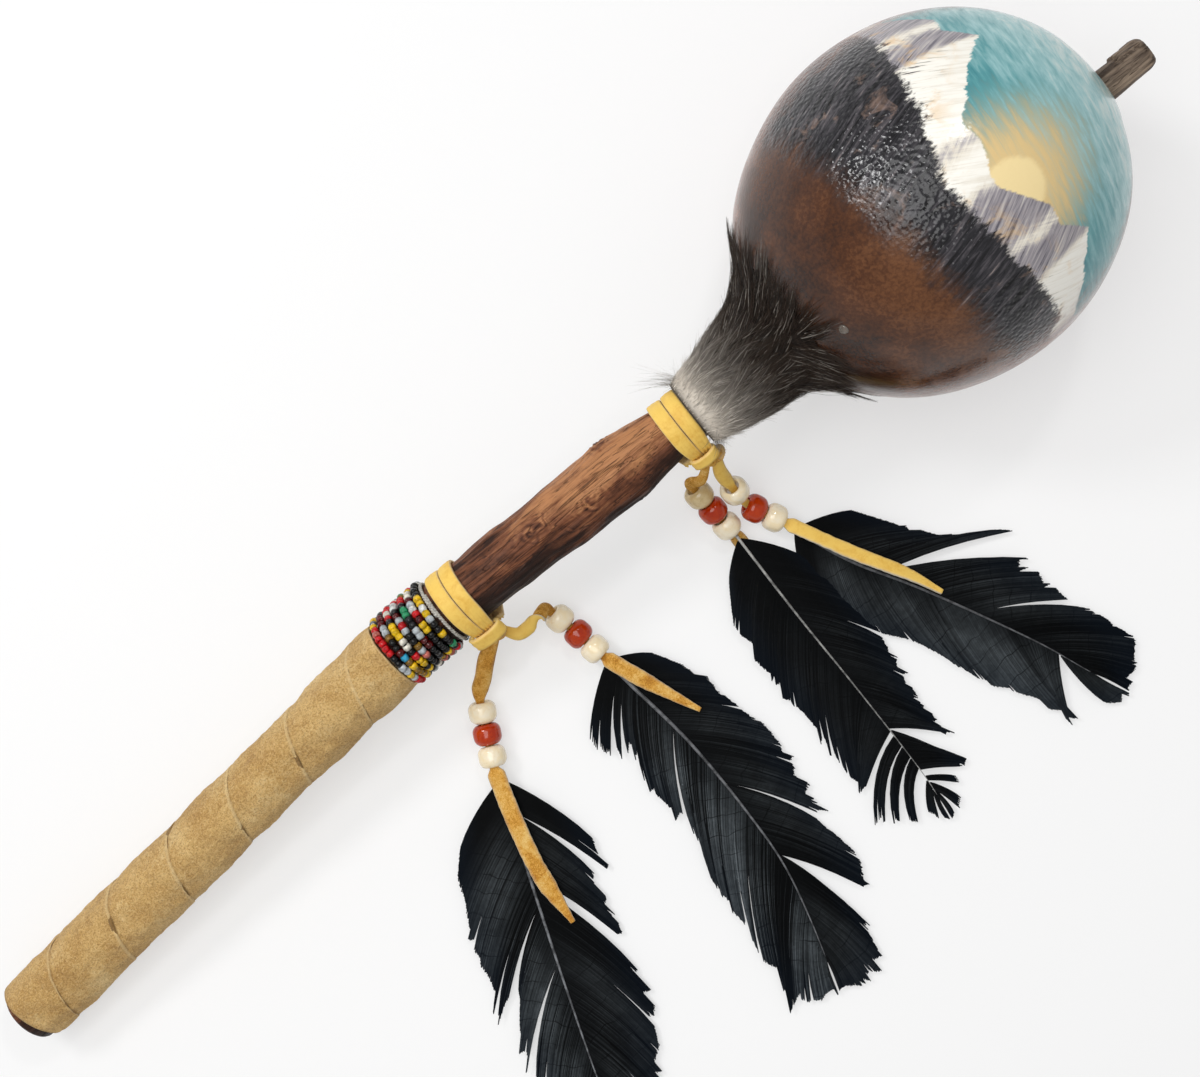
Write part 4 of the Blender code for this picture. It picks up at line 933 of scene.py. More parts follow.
def makeBarkFinish():
    tones = barkTones
    look = Finish("branchBark", Specular_IOR_Level=0.2)
    local = look.placed(look.where, shift=tuple(fromWorld.translation), turn=(0.0, tilt, 0.0))

    def lengthwise(along, across, *kind):
        return look.noise(look.placed(local, scale=(along, across, across)), 1.0, *kind)

    grain = lengthwise(40.0, 640.0, 5.0, 0.62, 0.5)
    fibre = lengthwise(80.0, 2300.0, 3.0, 0.6, 0.3)
    blotch = lengthwise(95.0, 190.0, 4.0, 0.6, 0.5)
    seams = lengthwise(26.0, 430.0, 3.0, 0.55, 0.8)
    # the bark mark holds painted shade on the side turned from the light, besides the wood's own tone and knot
    # swirls
    depth = (blotch - 0.5) * 1.1 + ((grain - 0.5) * 0.95 + look.read("bark"))
    body = look.shades(depth, (0.02, tones["light"]), (0.36, tones["mid"]), (0.68, tones["dark"]),
                       (1.0, tones["black"]))
    # hair-fine splits follow the grain
    split = look.remap(abs(seams - 0.5), 0.002, 0.020, 1.0, 0.0)
    body = look.mix(look.remap(fibre, 0.54, 0.72) * 0.40, body, tones["dark"])
    weathered = look.shades(grain, (0.34, tones["tipDark"]), (0.50, tones["tip"]), (0.68, tones["tipPale"]))
    body = look.mix(look.read("tip"), body, weathered)
    body = look.mix(split * 0.70, body, tones["black"])
    away = look.add("ShaderNodeVectorMath", {0: look.placed(local, scale=(0.0, 1.0, 1.0))}, "Value",
                    operation="LENGTH")
    ring = look.calc("PINGPONG", away, 0.0005)
    cutEnd = look.mix(look.remap(ring, 0.0001, 0.0004), tones["raw"], tones["mid"])
    return look.set(Base_Color=look.mix(look.read("raw"), body, cutEnd),
                    Roughness=look.remap(grain, 0.3, 0.7, 0.42, 0.66),
                    Normal=look.bump(fibre * 0.35 + (split * -0.6 + grain), 0.6, 0.0006))


def makeBranch():
    # closer rows where the wood shows
    edges = (branch["chamfer"], branch["bareFrom"] - 0.004, branch["bareTo"] + 0.006, branch["crown"] - 0.003,
             branch["length"] - branch["chamfer"])
    rows = [np.arange(start, stop, step) for start, stop, step in zip(edges, edges[1:], branch["rowSteps"])]
    rows = np.concatenate([[0.0, 0.0, 0.0], [0.0, 0.0004], *rows, edges[-1:],
                           [branch["length"] - 0.0004, branch["length"]], [branch["length"]] * 3])
    shrink = np.ones(len(rows))
    shrink[:5] = branch["buttShrink"]
    shrink[-5:] = branch["tipShrink"]
    past = np.clip((rows - branch["length"] + branch["roundEnd"]) / branch["roundEnd"], 0.0, 1.0)
    shrink = shrink * np.sqrt(1.0 - (0.60 * past) ** 2)
    around = np.linspace(0.0, 360.0, branch["sides"], endpoint=False)
    at, degrees = np.meshgrid(rows, around, indexing="ij")
    radius = stickRadius(at)
    turn = np.radians(degrees)
    flat = np.stack([at, 0.009 * np.cos(turn), 0.009 * np.sin(turn)], axis=-1)
    bare = ease((at - branch["bareFrom"]) / 0.004) * (1.0 - ease((at - branch["bareTo"]) / 0.003))
    tip = ease((at - branch["crown"] + 0.0020) / 0.0020)
    shown = np.maximum(bare, ease((at - branch["crown"] - 0.0006) / 0.0025) * 0.6)
    height = np.zeros_like(at)
    swirls = np.zeros_like(at)
    for place, direction, rise, reach in branch["scars"]:
        across = np.radians(angleFrom(degrees, direction)) * radius
        height += rise * np.exp(-((at - place) ** 2 + across ** 2) / reach ** 2)
        # oval growth lines round an old twig's foot, wound a little into a spiral
        away = np.hypot((at - place) * branch["eyeOval"], across) * (1.0 + 0.30 * unevenness(flat, 0.0045, 6))
        eye = np.exp(-(away / branch["eyeReach"]) ** 2) * bare * (1.0 + 0.5 * unevenness(flat, 0.004, 7))
        wave = np.cos(away / branch["eyeStep"] * 2.0 * math.pi + np.arctan2(across, at - place))
        swirls += eye * (0.48 * wave + 0.45 * np.exp(-(away / branch["eyeCore"]) ** 2))
        height += branch["swirl"] * wave * eye
    height += shown * branch["lumps"] * unevenness(flat, (0.030, 0.010, 0.010), 3)
    height += shown * branch["grain"] * unevenness(flat, (0.022, 0.0016, 0.0016), 4)
    height += shown * 0.5 * branch["grain"] * unevenness(flat, (0.006, 0.0013, 0.0013), 5)
    # a slab of bark has broken away from the tip's end, all but one side
    ragged = 0.0009 * unevenness(flat, 0.0022, 8)
    flake = ease((at - branch["crown"] - branch["flakeFrom"] + ragged) / 0.0006)
    turnedAway = np.abs(angleFrom(degrees, branch["flakeFacing"]))
    flake = flake * ease((branch["flakeHalf"] - turnedAway + ragged * 9000.0) / 7.0)
    height += branch["flake"] * flake * tip
    rings = onTable(skin(at, degrees, (radius + height) * shrink[:, None]))
    mesh = loft("branch", rings)
    # painted shade: darker on the underside and towards -Y, the side turned from the light; also darker near the
    # lower tie
    bark = 0.5 + 0.5 * np.cos(np.radians(angleFrom(degrees, branch["shadeFacing"])))
    nearTie = 1.0 - ease((at - branch["darkFrom"]) / branch["darkLength"])
    bark = 0.95 * bark + 0.40 * nearTie + 0.10 * unevenness(flat, (0.020, 0.007, 0.007), 9)
    # the bark mark holds that painted shade together with the knot swirls
    mark(mesh, "bark", np.clip(bark + 0.60 * swirls, 0.0, 1.0).ravel())
    mark(mesh, "tip", tip.ravel())
    raw = np.zeros_like(at)
    raw[:3] = raw[-3:] = branch["cutTone"]
    mark(mesh, "raw", raw.ravel())
    addPiece("branchStick", mesh, makeBarkFinish(), "rattle", "branch_bark", "stick")


makeBranch()
print("branch made")


strand = dict(start=0.1635, turns=7, pitch=0.00265, firstBead=200.0, perTurn=37, radius=0.00128, half=0.00094,
              bore=0.0005, sides=10, thread=0.00045, edgeThread=0.00052, ply=0.00028, plyRadius=0.00034,
              twists=34.0)
# suede strip wound on the grip: every turn's edge lies over the start of the next
wrap = dict(start=0.0025, stop=0.1620, follow=0.0017, pitch=0.0262, firstEdge=290.0, endTrim=0.08, steps=150,
            slant=0.0016, thin=0.0011, body=0.0013, crown=0.00032, lap=0.0013, lip=0.00014, lumps=0.00042,
            nap=0.00007)


def makeSuede():
    look = Finish("gripSuede", Specular_IOR_Level=0.1, Sheen_Weight=0.12, Sheen_Roughness=0.6)
    nap = look.use(napGrain, Vector=look.where, Scale=640.0)
    blotch = look.use(mottle, Vector=look.where, Scale=62.0, Low="C1995C", High="DDBA7C")
    fibres = look.shades(nap["Mottle"], (0.37, "9A7039"), (0.50, "D2A967"), (0.63, "F2D8A0"))
    speck = look.noise(look.where, 2100.0, 3.0, 0.7, 0.4)
    colour = look.mix(0.50, blotch["Color"], fibres)
    colour = look.mix(look.remap(speck, 0.51, 0.36, 0.0, 0.58), colour, "8C6430")
    colour = look.mix(look.remap(speck, 0.54, 0.70, 0.0, 0.60), colour, "EAD09C")
    colour = look.mix(look.read("lip"), colour, "EBD3A2")
    # painted shadow along the seams, where one turn tucks under the next
    return look.set(Base_Color=look.mix(look.read("seam"), colour, "6E4D25"),
                    Roughness=look.remap(nap["Height"], 0.3, 0.7, 0.86, 1.0),
                    Normal=look.bump(speck * 0.5 + nap["Height"], 0.95, 0.0007))


def makeWrap():
    turns = (wrap["stop"] - wrap["start"]) / wrap["pitch"] + 1.0
    first, last = wrap["endTrim"], turns - wrap["endTrim"]
    turn = np.linspace(first, last, round((last - first) * wrap["steps"]))
    degrees = wrap["firstEdge"] - 360.0 * turn
    begin = wrap["start"] - wrap["slant"] * np.cos(np.radians(degrees))
    low = np.maximum(begin, wrap["start"] + wrap["pitch"] * (turn - 1.0))
    row = ((strand["firstBead"] - degrees) % 360.0) / 360.0
    stop = wrap["stop"] + wrap["follow"] * np.minimum(row, 1.0 - ease((row - 0.88) / 0.12))
    high = np.minimum(stop, wrap["start"] + wrap["pitch"] * turn + wrap["lap"])
    high = np.maximum(high, low + 0.0015)
    share = np.concatenate([[0.0, 0.01, 0.03], np.linspace(0.055, 0.93, 36), [0.955, 0.975, 0.99, 1.0]])
    at = low[:, None] + (high - low)[:, None] * share
    inner = stickRadius(at) + branch["fit"]
    lapping = (high < stop - 1e-6)[:, None]
    rise = wrap["thin"] * ease(share / 0.02) + (wrap["body"] - wrap["thin"]) * ease((share - 0.02) / 0.22)
    rise = rise + wrap["crown"] * np.sin(math.pi * np.clip(share, 0, 1)) ** 0.8
    edgeLift = wrap["lip"] * ease((share - 0.90) / 0.08)
    top = inner + rise + np.where(lapping, edgeLift, 0.0)
    top = top - np.where(share >= 0.999, 0.00022, np.where(share >= 0.985, 0.00006, 0.0))
    top[:, 0] = inner[:, 0] + 0.0004
    local = skin(at, degrees[:, None], top)
    lumps = unevenness(local, (0.016, 0.009, 0.009), 21) * 0.7
    lumps = lumps + unevenness(local, (0.006, 0.005, 0.005), 22) * 0.3
    tufts = unevenness(local, 0.0014, 23, 40)
    local = skin(at, degrees[:, None], top + (wrap["lumps"] * lumps + wrap["nap"] * tufts) * ease(share / 0.05))
    underShare = np.array([1.0, 0.955, 0.945, 0.5, 0.0])
    underAt = low[:, None] + (high - low)[:, None] * underShare
    underRise = np.where(lapping, np.array([wrap["body"] + 0.00005, wrap["body"], 0.0, 0.0, 0.0]), 0.0)
    under = skin(underAt, degrees[:, None], stickRadius(underAt) + branch["fit"] * 0.6 + underRise)
    mesh = loft("gripWrap", onTable(np.concatenate([local, under], axis=1)))
    # painted shadow: darker where each turn runs in under the lap before it, and on the hidden underside
    seam = np.concatenate([0.30 * (1.0 - ease((share - 0.045) / 0.03)), np.full(5, 0.7)])
    seam[len(share) - 1] = 0.0
    lip = np.concatenate([0.35 * ease((share - 0.955) / 0.02), np.zeros(5)])
    mark(mesh, "seam", np.tile(seam, len(local)))
    mark(mesh, "lip", np.tile(lip, len(local)))
    addPiece("gripWrap", mesh, makeSuede(), "rattle", "suede", "handle_wrap")


makeWrap()
print("grip wrapped")


# strand of seed beads wound round the branch above the grip
seedPalette = (("060608", 30, 0), ("1A191C", 5, 0), ("C3CACE", 8, 0), ("F1F2EE", 6, 0), ("C9D2D6", 7, 1),
               ("D2161E", 13, 0), ("9C0F16", 8, 1), ("F2C41C", 10, 0), ("E0AC34", 5, 1), ("F2ECDD", 8, 0),
               ("35A8D2", 3, 0), ("2E9866", 3, 0), ("C66C60", 3, 0))


def makeSeedGlass(name, clear):
    look = Finish(name, Specular_IOR_Level=0.34, Transmission_Weight=clear, IOR=1.5)
    cloud = look.use(mottle, Vector=look.where, Scale=900.0, Low="B9B9B9", High="FFFFFF")
    return look.set(Base_Color=look.mix(1.0, look.read("tint", "Color"), cloud["Color"], "MULTIPLY"),
                    Roughness=look.remap(cloud["Mask"], 0.0, 1.0, 0.04, 0.10))


def makeBeadTree():
    # one bead on every point of the strand, opaque or clear by the point's mark
    tree = Group("beadStrand", dict(Places="Geometry", Bead="Object", Opaque="Material", Clear="Material"),
                 dict(Beads="Geometry"), "Geometry")
    given = tree.given
    bead = tree.add("GeometryNodeObjectInfo", {"Object": given["Bead"]}, "Geometry")
    pose = {"Rotation": tree.named("turned"), "Scale": tree.named("size")}
    laid = tree.add("GeometryNodeInstanceOnPoints", {"Points": given["Places"], "Instance": bead, **pose})
    real = tree.add("GeometryNodeRealizeInstances", {"Geometry": laid})
    opaque = tree.add("GeometryNodeSetMaterial", {"Geometry": real, "Material": given["Opaque"]})
    chosen = tree.add("FunctionNodeCompare", {"A": tree.named("clear", "FLOAT"), "B": 0.5}, data_type="FLOAT",
                      operation="GREATER_THAN")
    clear = {"Geometry": opaque, "Selection": chosen, "Material": given["Clear"]}
    return tree.give(Beads=tree.add("GeometryNodeSetMaterial", clear))


def makeSeedBeads():
    draw = np.random.default_rng(77)
    count = strand["turns"] * strand["perTurn"]
    turn = (np.arange(count) + 0.5) / strand["perTurn"]
    at = strand["start"] + strand["pitch"] * turn + draw.normal(0.0, 0.00008, count)
    degrees = strand["firstBead"] - 360.0 * turn
    reach = stickRadius(at) + branch["fit"] + strand["radius"] + draw.normal(0.0, 0.00006, count)
    middle = onTable(skin(at, degrees, reach))
    ahead = onTable(skin(at - strand["pitch"] * 0.002, degrees + 0.72, reach))
    run = unit(middle - ahead) + draw.normal(0.0, 0.07, (count, 3))
    turned = [Vector(axis).to_track_quat("Z", "X").to_euler() for axis in run]
    weights = np.array([row[1] for row in seedPalette], float)
    pick = draw.choice(len(seedPalette), count, p=weights / weights.sum())
    repeat = draw.random(count) < 0.22
    for i in range(1, count):
        if repeat[i]:
            pick[i] = pick[i - 1]
    tint = np.array([(*paint(seedPalette[k][0]), 1.0) for k in pick])
    size = np.stack([draw.normal(1.0, 0.03, count)] * 2 + [draw.normal(1.0, 0.07, count)], axis=-1)
    marks = dict(turned=np.array(turned), size=size, tint=tint,
                 clear=np.array([float(seedPalette[k][2]) for k in pick]))
    r, h, b = strand["radius"], strand["half"], strand["bore"]
    rings = spin(((b, -0.86 * h), (0.82 * r, -h), (r, 0.0), (0.82 * r, h), (b, 0.86 * h)), strand["sides"])
    bead = bpy.data.objects.new("seedBead", loft("seedBead", rings, ringLoop=True))
    mesh = grow("seedBeads", makeBeadTree(), middle, marks, Bead=bead, Opaque=makeSeedGlass("seedGlass", 0.0),
                Clear=makeSeedGlass("seedGlassClear", 0.75))
    addPiece("seedBeads", mesh, None, "rattle", "seed_bead_glass", "bead_wrap")
    # dark thread through the beads, and a pale twisted end round the upper edge
    seat = branch["fit"] + strand["radius"]
    threadAt = np.linspace(0.0, strand["turns"], strand["turns"] * 48)
    where = strand["start"] + strand["pitch"] * threadAt
    path = onTable(skin(where, strand["firstBead"] - 360.0 * threadAt, stickRadius(where) + seat))
    addPiece("beadThread", tube("beadThread", path, strand["thread"], 6),
             makeThread("strandThread", "17171A", "2B2A2C"), "rattle", "seed_bead_glass")
    turnsEnd = np.linspace(0.0, 1.12, 260)
    where = strand["start"] + strand["pitch"] * strand["turns"] + 0.0002 + 0.0005 * turnsEnd
    degrees = strand["firstBead"] - 360.0 * (turnsEnd + 0.3)
    seat = stickRadius(where) + branch["fit"] + strand["edgeThread"]
    for ply in (0, 1):
        twist = turnsEnd * 2.0 * math.pi * strand["twists"] + ply * math.pi
        path = skin(where + strand["ply"] * np.cos(twist), degrees, seat + strand["ply"] * np.sin(twist))
        addPiece(f"edgeThread{ply + 1}", tube("edgeThread", onTable(path), strand["plyRadius"], 6),
                 makeThread(f"edgeThreadPly{ply + 1}", "8E8A84", "CFCBC2"), "rattle", "seed_bead_glass")


def makeThread(name, dark, pale):
    return mottled(name, 1800.0, dark, pale, (0.7, 0.95), Specular_IOR_Level=0.25)


makeSeedBeads()
print("seed beads strung")


# ties: a flat lace laid round the branch in two turns, pleated where it runs into the knot
def makeBand(name, tieAt, firstSide):
    turn = np.linspace(0.0, tie["turns"], tie["turns"] * tie["steps"] + 1)
    crossed = np.floor(turn) + ease((turn % 1.0) * 360.0 / tie["crossing"])
    middle = tieAt + firstSide * tie["pitch"] * (0.5 * (tie["turns"] + 1) - crossed)
    degrees = 180.0 + tie["knotDrop"] + 360.0 * turn
    # near the knot the turns close up, fold lengthwise and run off the branch
    pastKnot = (turn % 1.0) * 360.0
    pulled = np.maximum(ease(1.0 - (360.0 - pastKnot) / 85.0), ease(1.0 - pastKnot / 40.0))
    pulled[-1] = 1.0
    middle = middle + (tieAt - middle) * tie["gather"] * pulled
    share = np.linspace(-0.96, 0.96, 15)
    halfWidth = 0.5 * tie["width"] * (1.0 - tie["narrow"] * pulled)
    runOff = (tie["runOff"] * pulled)[:, None]
    at = middle[:, None] + halfWidth[:, None] * share
    dome = 0.00022 * (1.0 - share ** 2) - 0.00012 * (np.abs(share) > 0.9)
    pleat = tie["pleat"] * np.cos(share * math.pi * tie["pleats"] + 0.6) * (0.10 + pulled)[:, None]
    wander = unevenness(np.stack([at, np.radians(degrees)[:, None] * 0.009 + 0 * at, 0 * at], -1),
                        (0.003, 0.012, 1.0), 61)
    outer = stickRadius(at) + branch["fit"] + tie["thickness"] - 0.0001
    outer = outer + dome + pleat + 0.00006 * wander + runOff
    upper = skin(at, degrees[:, None], outer)
    edgeAt = middle[:, None] + halfWidth[:, None] * np.array([1.0, 1.0, -1.0, -1.0])
    edgeRise = np.array([0.65, 0.0, 0.0, 0.65]) * tie["thickness"]
    lower = skin(edgeAt, degrees[:, None], stickRadius(edgeAt) + 0.5 * branch["fit"] + edgeRise + 0.85 * runOff)
    rings = onTable(np.concatenate([upper, lower], axis=1))
    mesh = loft(name, rings)
    mark(mesh, "flesh", np.tile(np.concatenate([np.zeros(15), [0.4, 1.0, 1.0, 0.4]]), len(rings)))
    cut = np.concatenate([[0.35], np.zeros(13), [0.35], [0.6, 0.3, 0.3, 0.6]])
    mark(mesh, "cut", np.tile(cut, len(rings)))
    addPiece(f"{name}_strip", mesh, tieLeather, "rattle", "yellow_leather", name)


def strapMesh(name, path, up, halfWidth, halfThick, closed=False, ribs=0.0):
    # flat strap along a path beside the branch, with the strap's face turned to up
    path = onTable(path)
    run = np.roll(path, -1, 0) - np.roll(path, 1, 0) if closed else np.gradient(path, axis=0)
    run = unit(run)
    side = unit(np.cross(run, up @ worldTurn.T))
    out = np.cross(side, run)
    across, rise = laceSection[None, :, :1], laceSection[None, :, 1:2]
    rings = path[:, None] + side[:, None] * halfWidth * across + out[:, None] * halfThick * rise
    rings = rings + out[:, None] * ribs * np.cos(across * 7.0) * (rise > 0)
    return loft(name, rings, ringLoop=closed)


def makeKnot(name, tieAt, form):
    middle, lengthAxis, widthAxis = knotFrame(tieAt)
    depthAxis = np.cross(lengthAxis, widthAxis)
    # keeper: a flat strap bent over the gathered turns, along the branch
    heading = unit(centre(tieAt + 0.001) - centre(tieAt - 0.001))
    facing = unit(skin(tieAt, knot["facing"], 1.0) - centre(tieAt))
    hub = skin(tieAt, knot["hub"], float(stickRadius(tieAt)) + knot["hubOut"])
    t = np.radians(np.linspace(-knot["bow"], knot["bow"], 44))[:, None]
    path = hub + heading * (form["long"] * np.sin(t)) + facing * (knot["arch"] * np.cos(t))
    faceUp = unit(heading * (np.sin(t) / form["long"]) + facing * (np.cos(t) / knot["arch"]))
    keeper = strapMesh(f"{name}Keeper", path, faceUp, form["half"], knot["keeperThick"], ribs=knot["ribs"])
    # knot: the strap's ends crossing over each other
    t = np.linspace(0.0, 2.0 * math.pi, 150, endpoint=False)
    trefoil = np.stack([np.sin(t) + 1.7 * np.sin(2.0 * t), np.cos(t) - 1.7 * np.cos(2.0 * t),
                        -1.35 * np.sin(3.0 * t)], -1) * np.array(knot["loop"])
    flat = trefoil[:, :1] * widthAxis + trefoil[:, 1:2] * lengthAxis
    over = trefoil[:, 2:]
    path = middle + np.array(form["shift"]) + flat + over * depthAxis
    faceUp = unit(flat * 0.55 + depthAxis * 0.0022 * np.sign(over + 1e-9))
    faceUp = unit(sum(np.roll(faceUp, step, 0) for step in (-6, -3, 0, 3, 6)))
    loop = strapMesh(f"{name}Loop", path, faceUp, knot["loopHalf"], knot["loopThick"], closed=True)
    for part, mesh, flesh, nodes in (("keeper", keeper, 0.0, ()), ("loop", loop, 0.85, (name,))):
        count = len(mesh.vertices)
        mark(mesh, "flesh", np.full(count, flesh))
        mark(mesh, "cut", np.tile(laceSection[:, 2] * 0.35, count // len(laceSection)))
        addPiece(f"{name}_{part}", mesh, tieLeather, "rattle", "yellow_leather", *nodes)


for where, firstSide in (("lower", 1), ("upper", -1)):
    makeBand(f"{where}_tie_band", tie[where], firstSide)
    makeKnot(f"{where}_tie_knot", tie[where], knot[where])
print("ties made")


# gourd: a smooth shell with a neck, its body set to one side of the branch
gourd = dict(neck=0.2790, middle=0.3690, crown=0.4262, radius=0.0530, trim=0.9966, shoulder=0.0600,
             crownLength=0.0572, offset=0.0044, wall=0.0040, neckLength=0.0320, neckSeat=0.0095,
             neckMouth=0.0100, neckRoot=0.0165, blend=0.0080, crownBlend=0.0200, offsetFull=0.75, sides=176,
             lumps=0.00035)
glue = dict(at=0.3252, degrees=111.0, radius=0.0016, rise=0.0009, dent=0.0004, sunk=0.0002)


def gourdRadius(at, inset=0.0):
    at = np.asarray(at, float)
    along = at - gourd["middle"]
    half = np.where(along > 0.0, gourd["crownLength"], gourd["shoulder"]) - inset
    body = (gourd["radius"] * gourd["trim"] - inset) * np.sqrt(np.maximum(0.0, 1.0 - (along / half) ** 2))
    taper = np.clip((at - gourd["neck"]) / gourd["neckLength"], 0.0, 1.0)
    neck = gourd["neckMouth"] + (gourd["neckRoot"] - gourd["neckMouth"]) * taper - inset
    h = np.clip(0.5 + 0.5 * (body - neck) / gourd["blend"], 0.0, 1.0)
    joined = neck + (body - neck) * h + gourd["blend"] * h * (1.0 - h)
    return np.where(along > 0.0, body, joined)


def gourdShift(at):
    seatEnd = gourd["neck"] + gourd["neckSeat"]
    bodyStart = gourd["middle"] - gourd["offsetFull"] * gourd["shoulder"]
    return gourd["offset"] * ease((at - seatEnd) / (bodyStart - seatEnd))


def gourdPoint(at, degrees, radius, shift):
    given = (at, degrees, radius, shift)
    at, degrees, radius, shift = np.broadcast_arrays(*(np.asarray(v, float) for v in given))
    turn = np.radians(degrees)
    return centre(at) + np.stack([0 * at, shift + radius * np.cos(turn), radius * np.sin(turn)], axis=-1)


def gourdWall(inset, neckRows, bodyRows, crownRows):
    shoulder = gourd["shoulder"] - inset
    start = gourd["middle"] - shoulder * math.cos(math.radians(35.0))
    angles = np.radians(np.linspace(35.0, 90.0, bodyRows, endpoint=False))
    crownAngles = np.radians(np.linspace(90.0, 174.5, crownRows))
    at = np.concatenate([np.linspace(gourd["neck"], start, neckRows, endpoint=False),
                         gourd["middle"] - shoulder * np.cos(angles),
                         gourd["middle"] - (gourd["crownLength"] - inset) * np.cos(crownAngles),
                         [gourd["crown"] - inset]])
    bore = stickRadius(at) + branch["fit"]
    radius = np.maximum(bore, gourdRadius(at, inset))
    radius[-1] = bore[-1]
    shift = gourdShift(at)
    shift = np.where(at > gourd["middle"], shift * ease((radius - bore) / (gourd["crownBlend"] - bore)), shift)
    degrees = np.linspace(0.0, 360.0, gourd["sides"], endpoint=False)
    points = gourdPoint(at[:, None], degrees, radius[:, None], shift[:, None])
    if inset == 0.0:
        lumps = gourd["lumps"] * unevenness(points, 0.045, 15) * ease((radius - 0.012) / 0.02)[:, None]
        points = gourdPoint(at[:, None], degrees, radius[:, None] + lumps, shift[:, None])
    return points


gourdMiddle = centre(gourd["middle"]) + np.array([0.0, gourd["offset"], 0.0])

# painted panel: a snowy range under a turquoise sky on the gourd's upper face, in millimetres from its middle
panel = dict(
    peaks=((0.0, 0.0), (0.18, 3.0), (0.27, 14.0), (0.295, 10.0), (0.32, 11.5), (0.385, 24.0), (0.41, 17.5),
           (0.43, 18.5), (0.475, 9.0), (0.51, 13.5), (0.53, 12.0), (0.605, 33.0), (0.63, 26.0), (0.655, 27.5),
           (0.70, 17.5), (0.73, 19.5), (0.80, 7.0), (1.0, 0.0)),
    snowLine=((0.0, -14.0), (0.26, -2.0), (0.34, 6.0), (0.42, 3.0), (0.50, -1.0), (0.58, 9.0), (0.66, 12.0),
              (0.74, 6.0), (1.0, -14.0)),
    earthLine=((0.0, -20.0), (0.25, -10.0), (0.38, -13.0), (0.50, -17.0), (0.62, -24.0), (0.75, -30.0),
               (1.0, -20.0)),
)


def curveOf(look, value, table, low=-60.0, high=60.0):
    # straight-sided line through (share, height) pairs
    field = look.add("ShaderNodeFloatCurve", {"Value": value})
    mapping = field.socket.node.mapping
    line = mapping.curves[0]
    while len(line.points) < len(table):
        line.points.new(0.5, 0.5)
    for point, (place, height) in zip(line.points, table):
        point.location = (place, (height - low) / (high - low))
        point.handle_type = "VECTOR"
    mapping.update()
    return field * (high - low) + low


